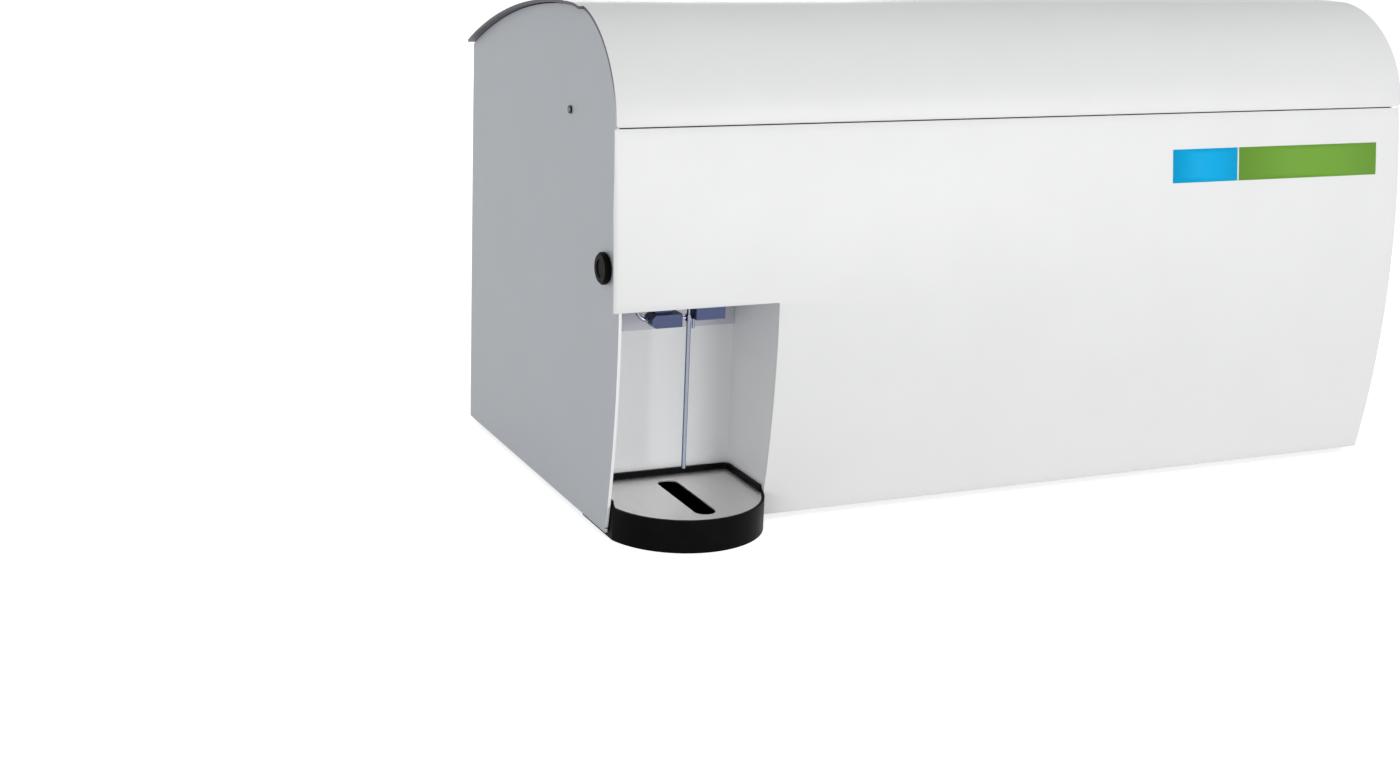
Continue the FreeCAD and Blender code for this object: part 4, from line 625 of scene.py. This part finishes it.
# %% Edges of a stiffener
rib_depth, rib_start, rib_rear_gap = 17 * mm, math.radians(24), 14 * mm
rib_turns = spread(rib_start, math.pi / 2, 30)
rib_ys = spread(apex_y, rear - rib_rear_gap, 16)[1:]


def rib_edge(depth):
    return [hood_front_point(turn, depth) for turn in rib_turns] + [roof_point(y, depth) for y in rib_ys]


rib_edges = (rib_edge(sheet_thickness - weld_overlap), rib_edge(rib_depth))
print("points along a stiffener:", len(rib_edges[0]))

# %% [markdown]
# Both are made from the same edges, one at each end of the hood.

# %% Stiffeners
rib_thickness, rib_inset = 2 * mm, 17 * mm
hood_ribs = []
for side, name in ((-1, "hood_left_rib"), (1, "hood_right_rib")):
    rib_x = side * (-panel_low.x - rib_inset)
    rib = extrude_band(name, *rib_edges, rib_x - rib_thickness / 2, rib_x + rib_thickness / 2, "hood")
    soften(rib, 0.3 * mm)
    hood_ribs.append(rib)
print("stiffeners:", len(hood_ribs))

# %% [markdown]
# ## What every finish has in common
# A finish is a recipe that ends in a Principled shader. Noise in the object's own metres gives it its
# grain, so the grain keeps its size on every piece. Colours are mixed by a Mix node, because a Math
# node would turn them grey.

# %% A finish
class Finish(Recipe):
    """A material that ends in a Principled shader."""

    def place(self, stretch=(1, 1, 1)):
        """The point on the object in metres, drawn out along an axis where stretch is below one."""
        point = self.node("ShaderNodeTexCoord", output="Object")
        return self.node("ShaderNodeVectorMath", {"operation": "MULTIPLY"}, {0: point, 1: stretch})

    def along(self, axis, vector):
        return self.node("ShaderNodeSeparateXYZ", {}, {"Vector": vector}, output=axis)

    def noise(self, size, stretch=(1, 1, 1), detail=2.0):
        """Soft noise from nought to one, whose blots are about as wide as size."""
        sockets = {"Vector": self.place(stretch), "Scale": 1 / size, "Detail": detail}
        return self.node("ShaderNodeTexNoise", {"noise_dimensions": "3D"}, sockets)

    def blend(self, factor, first, second):
        """Mixes two colours."""
        first, second = [c if isinstance(c, Wire) else (*c, 1) for c in (first, second)]
        return self.node("ShaderNodeMix", {"data_type": "RGBA"}, {0: factor, 6: first, 7: second}, 2)

    def relief(self, height):
        """The normal of a surface with that height in metres."""
        return self.node("ShaderNodeBump", {}, {"Height": height, "Distance": 1.0, "Strength": 1.0})

    def finish(self, **sockets):
        """Ends the material; names are the shader's sockets, with _ for a space."""
        named = {name.replace("_", " "): value for name, value in sockets.items()}
        return self.close(self.node("ShaderNodeBsdfPrincipled", {}, named))


# %% [markdown]
# ## Paint
# The sheets are powder coated. Powder flows out into a skin that is almost flat, with a fine orange
# peel about a millimetre across and a slow, faint unevenness of gloss. The colour hardly varies, so the
# gloss and the relief have to carry the finish. The narrow front edge of a panel may take a paler colour,
# which is picked by the way that the surface faces: that paler tone is painted light.

# %% Paint
peel_width, peel_height = 1.4 * mm, 4e-6


def powder_coat(name, colour, gloss_break=0.42, lit_front_edge=None):
    coat = Finish(name)
    peel = coat.noise(peel_width, detail=1.5)
    clouds = coat.noise(90 * mm, detail=3)
    tone = coat.blend(clouds.rise(0.35, 0.65), [c * 0.985 for c in colour], colour)
    # Faces that look to the front take the paler colour: painted light, the lit tone of an edge facing the
    # lamp.
    if lit_front_edge:
        rearward = coat.along("Y", coat.node("ShaderNodeTexCoord", output="Normal"))
        tone = coat.blend((0 - rearward).rise(0.6, 0.8), tone, lit_front_edge)
    rough = gloss_break + (coat.noise(12 * mm) - 0.5) * 0.06
    return coat.finish(Base_Color=tone, Roughness=rough, Normal=coat.relief(peel * peel_height))


# %% [markdown]
# ## Moulded and rubbery plastics
# A moulded part copies the fine spark grain of its mould, and dust and handling leave its gloss uneven.

# %% Plastics
grain_width, grain_height = 0.35 * mm, 6e-6


def moulded(name, colour, rough=0.42, gloss=0.5):
    plastic = Finish(name)
    pits = plastic.noise(grain_width, detail=1)
    wear = plastic.noise(18 * mm, detail=4)
    pale = [min(1, c * 1.2 + 0.001) for c in colour]
    tone = plastic.blend(wear.rise(0.3, 0.75), colour, pale)
    shine = rough + (wear - 0.5) * 0.18
    return plastic.finish(Base_Color=tone, Roughness=shine, Normal=plastic.relief(pits * grain_height),
                          Specular_IOR_Level=gloss)


# %% [markdown]
# ## Metals
# Brushed sheet has long scratches in one direction. Noise that is drawn out along that direction gives
# them, and they go into the roughness, the relief and faintly into the colour. Machined pieces get the
# same marks.

# %% Brushed metal
scratch_width = 0.25 * mm


def brushed(name, colour, direction, rough, depth=3e-6, shade=0.82):
    metal = Finish(name)
    lines = metal.noise(scratch_width, direction, detail=3)
    broad = metal.noise(scratch_width * 14, direction, detail=2)
    dark = [c * shade for c in colour]
    tone = metal.blend((lines * 0.6 + broad * 0.4).rise(0.3, 0.7), dark, colour)
    shine = rough + (lines - 0.5) * 0.22
    return metal.finish(Base_Color=tone, Roughness=shine, Metallic=1.0, Normal=metal.relief(lines * depth))


# %% [markdown]
# Plating and polish have no scratches, but a little mottling.

# %% Plated metal
def plated(name, colour, rough, mottle=3 * mm):
    metal = Finish(name)
    cloud = metal.noise(mottle, detail=4)
    tone = metal.blend(cloud.rise(0.3, 0.7), [c * 0.88 for c in colour], colour)
    shine = rough + (cloud - 0.5) * 0.16
    return metal.finish(Base_Color=tone, Roughness=shine, Metallic=1.0)


# %% [markdown]
# ## One finish for each slot
# The record says which finish each piece takes. The finishes are made once and handed out from here.
# The covers are white, the panels grey, and the liner of the bay is a little paler than the covers. The
# panels' grey is partly their own paint and partly painted shade of the side away from the key lamp.

# %% Painted and moulded finishes
panel_grey_and_shade = (0.525, 0.552, 0.580)
finishes = {
    "white_paint": powder_coat("white_paint", (0.785, 0.785, 0.775)),
    "grey_paint": powder_coat("grey_paint", panel_grey_and_shade),
    "bay_paint": powder_coat("bay_paint", (0.80, 0.805, 0.81)),
    # The rail's grey is darker and more purple than the liner: painted shade of the bay's ceiling and
    # blocks.
    "rail_paint": powder_coat("rail_paint", (0.57, 0.565, 0.62)),
    "motor_black": powder_coat("motor_black", (0.030, 0.030, 0.033), 0.36),
    "black_plastic": moulded("black_plastic", (0.003, 0.003, 0.0033), rough=0.40, gloss=0.03),
    "rubber": moulded("rubber", (0.022, 0.022, 0.023), rough=0.72),
    "board_green": moulded("board_green", (0.020, 0.15, 0.060), rough=0.30),
    "grey_plastic": moulded("grey_plastic", (0.30, 0.31, 0.32)),
}
print("paints and plastics:", len(finishes))

# %% [markdown]
# The plate of the drip tray is brushed from front to back, and machined blocks from side to side. The
# pipette's steel is rather dark and blue, as it looks in the photograph: the dark blue is a painted
# reflection of dark surroundings, which the white studio does not hold.

# %% Metal finishes
across, lengthwise = (0.02, 1, 1), (1, 0.02, 1)
finishes.update({
    "tray_steel": brushed("tray_steel", (0.86, 0.84, 0.83), lengthwise, rough=0.40, depth=1e-6, shade=0.93),
    "blue_anodised": brushed("blue_anodised", (0.055, 0.066, 0.125), across, rough=0.40),
    "machined_aluminium": brushed("machined_aluminium", (0.66, 0.66, 0.67), across, rough=0.36),
    "black_anodised": brushed("black_anodised", (0.035, 0.035, 0.038), across, rough=0.46),
    "gear_brass": brushed("gear_brass", (0.66, 0.49, 0.20), across, rough=0.32),
    "black_oxide": plated("black_oxide", (0.045, 0.045, 0.05), rough=0.30),
    # A dark, blue base colour: painted reflection of dark surroundings.
    "polished_steel": plated("polished_steel", (0.31, 0.335, 0.42), rough=0.10),
    "zinc_steel": plated("zinc_steel", (0.56, 0.56, 0.54), rough=0.36),
    "fittings_nickel": plated("fittings_nickel", (0.62, 0.60, 0.55), rough=0.22),
    "mirror_glass": plated("mirror_glass", (0.9, 0.9, 0.9), rough=0.04, mottle=20 * mm),
})
slots_of_nodes = {part["node"]: part["material_slot"] for part in frame["record"]["subparts"]}
print("finishes:", len(finishes), "unused:", sorted(set(finishes) - set(slots_of_nodes.values())))

# %% [markdown]
# ## Pieces that keep their construction mesh
# Most pieces already have their true shape. They only need broken edges: the mesh comes in with its
# faces apart, so Weld joins them, Bevel breaks the sharp edges and Weighted Normal keeps the flat faces
# flat. A modifier leaves the mesh itself as it was packed.

# %% Broken edges on the construction pieces
joining_distance, edge_width = 0.01 * mm, 0.25 * mm
edge_angle = math.radians(35)


def break_edges(piece):
    weld = piece.modifiers.new("weld", "WELD")
    weld.merge_threshold = joining_distance
    edges = piece.modifiers.new("edges", "BEVEL")
    edges.width, edges.segments, edges.use_clamp_overlap = edge_width, 2, True
    edges.limit_method, edges.angle_limit = "ANGLE", edge_angle
    normals = piece.modifiers.new("normals", "WEIGHTED_NORMAL")
    normals.keep_sharp = True


# %% [markdown]
# Each piece then gets the finish that the record names. The two rear sheets keep the square edges of
# the laser that cut them.

# %% Hand out the finishes
laser_cut = ("rear_panel", "connector_panel")


def dress(piece, material):
    """Gives a piece one material, in its material slots only."""
    piece.data.materials.clear()
    piece.data.materials.append(material)


for name, piece in nodes.items():
    dress(piece, finishes[slots_of_nodes[name]])
    if name not in laser_cut:
        break_edges(piece)
for piece in [front_cover] + cover_back + [hood] + hood_ribs:
    dress(piece, finishes["white_paint"])
print("dressed:", len(nodes), "construction pieces,", len(cover_back + hood_ribs) + 2, "new ones")

# %% [markdown]
# ## Side panels
# The panels are grey, partly painted shade, and their narrow front edge beside the bay is as white as
# the cover: a painted lit tone on the faces that look to the front.

# %% Side panels
# The grey is partly painted shade, and the paler front edge is painted light.
side_paint_and_painted_light = powder_coat("side_paint_and_painted_light", panel_grey_and_shade, lit_front_edge=(0.86, 0.86, 0.87))
side_pieces = skirts + [nodes["left_side_panel"], nodes["right_side_panel"]]
for piece in side_pieces:
    dress(piece, side_paint_and_painted_light)
print("side paint on:", [piece.name for piece in side_pieces])

# %% [markdown]
# ## Side screws
# The heads are blackened, and a bright disc is painted in the socket: a painted highlight, the glint that
# the socket catches. Distance from the screw's axis tells the socket from the head.

# %% How far a point lies from the screw's axis
screws_low, screws_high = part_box("panel_screws")
head_radius, socket_radius, glint_edge = 4 * mm, 2 * mm, 0.2 * mm
axis_point = (0, screws_low.y + head_radius, screws_high.z - head_radius)
screw_glint = Finish("screw_with_painted_glint")
both_points = {0: screw_glint.place((0, 1, 1)), 1: axis_point}
from_axis = screw_glint.node("ShaderNodeVectorMath", {"operation": "DISTANCE"}, both_points, 1)
on_head = from_axis.rise(socket_radius - glint_edge, socket_radius + glint_edge)
print("screw axis at y %.4f z %.4f" % axis_point[1:])

# %% [markdown]
# Both tones are clouded. Metallic stands half way, as for a metal under a thin dull skin.

# %% Side screws
cloud = screw_glint.noise(0.6 * mm, detail=3)
ring = screw_glint.blend(cloud, (0.012, 0.012, 0.016), (0.022, 0.022, 0.028))
# The socket's near-white tone is a painted highlight.
painted_glint_tone = screw_glint.blend(cloud, (0.72, 0.72, 0.76), (0.86, 0.86, 0.90))
screw_tone = screw_glint.blend(on_head, painted_glint_tone, ring)
screw_rough = 0.34 + (cloud - 0.5) * 0.14
screw_finish = screw_glint.finish(Base_Color=screw_tone, Roughness=screw_rough, Metallic=0.5)
dress(nodes["panel_screws"], screw_finish)
print("nodes in the screws' finish:", len(screw_glint.tree.nodes))

# %% [markdown]
# ## Inside of the hood
# The hood's underside and its cut ends are coloured dark purple-grey. On the cut ends along the side
# panels that dark is painted shade, the shadow line under the hood's overhang, and it fades out towards
# the seam as that shadow does.

# %% Inside of the hood
shade_fade_low, shade_fade_high = seam_height + 4 * mm, seam_height + 50 * mm
underside_and_shade = Finish("hood_underside_and_shade")
dark_share = underside_and_shade.along("Z", underside_and_shade.place()).rise(shade_fade_low, shade_fade_high)
cloud = underside_and_shade.noise(30 * mm, detail=3)
dark_underside_and_shade = underside_and_shade.blend(cloud, (0.100, 0.088, 0.108), (0.125, 0.110, 0.132))
# Painted shade: dark above the seam, and white close to it.
underside_and_shade_colour = underside_and_shade.blend(dark_share, (0.74, 0.74, 0.74), dark_underside_and_shade)
underside_rough = 0.55 + (cloud - 0.5) * 0.1
hood.data.materials.append(underside_and_shade.finish(Base_Color=underside_and_shade_colour, Roughness=underside_rough))
print("materials of the hood:", [material.name for material in hood.data.materials])

# %% [markdown]
# ## Circuit board
# The board is one piece with its components. Green lacquer covers the board itself, up to its front
# face, and whatever stands in front of that is black moulding.

# %% Where the board ends and its components begin
face_from_rear = 31.6 * mm
board_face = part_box("control_board")[1].y - face_from_rear
board = Finish("circuit_board")
on_board = board.along("Y", board.place()).rise(board_face - 0.3 * mm, board_face - 0.1 * mm)
print("board face at y %.4f" % board_face)

# %% [markdown]
# Faint blots of a paler green break up the lacquer.

# %% Circuit board
blots = board.noise(1.2 * mm, detail=1).rise(0.45, 0.55)
lacquer = board.blend(blots, (0.016, 0.13, 0.05), (0.022, 0.165, 0.066))
board_colour = board.blend(on_board, (0.014, 0.014, 0.015), lacquer)
board_rough = 0.36 + (board.noise(8 * mm) - 0.5) * 0.1
dress(nodes["control_board"], board.finish(Base_Color=board_colour, Roughness=board_rough))
print("nodes in the board's finish:", len(board.tree.nodes))

# %% [markdown]
# ## Label strip
# The label is printed film: a blue field and a longer green one with a white line between them. It
# carries no words here. The ink has a fine grain and little gloss, so that the lamps leave no bright
# bars in it.

# %% Printed ink
def printed_ink(name, colour):
    printed = Finish(name)
    ink = printed.noise(0.5 * mm, detail=2)
    tone = printed.blend(ink.rise(0.3, 0.7), [c * 0.96 for c in colour], colour)
    shine = 0.55 + (printed.noise(20 * mm) - 0.5) * 0.08
    return printed.finish(Base_Color=tone, Roughness=shine, Specular_IOR_Level=0.12)


# %% [markdown]
# The film lies on the curve of the cover, so it is bent like the cover itself, and it stands off it by
# its own thickness.

# %% Label strip
film_thickness, film_corner = 0.3 * mm, 0.8 * mm
label_low, label_high = 330.8 * mm, 366 * mm
fields = (("label_blue", 163 * mm, 247.8 * mm, (0.0, 0.42, 0.79)),
          ("label_divider", 247.8 * mm, 249.8 * mm, (0.85, 0.86, 0.86)),
          ("label_green", 249.8 * mm, 440.3 * mm, (0.175, 0.375, 0.045)))
for name, x0, x1, colour in fields:
    film_blank = blank_grid([x0, (x0 + x1) / 2, x1], spread(label_low, label_high, 6))
    round_corners(film_blank, [(x, v) for x in (x0, x1) for v in (label_low, label_high)], film_corner, 4)
    film_mesh = bend(film_blank, name, cover_curve, lambda x: -film_thickness)
    piece = make_object(name, film_mesh, "front_cover")
    thicken(piece, film_thickness)
    dress(piece, printed_ink(name, colour))
print("fields of the label:", len(fields))
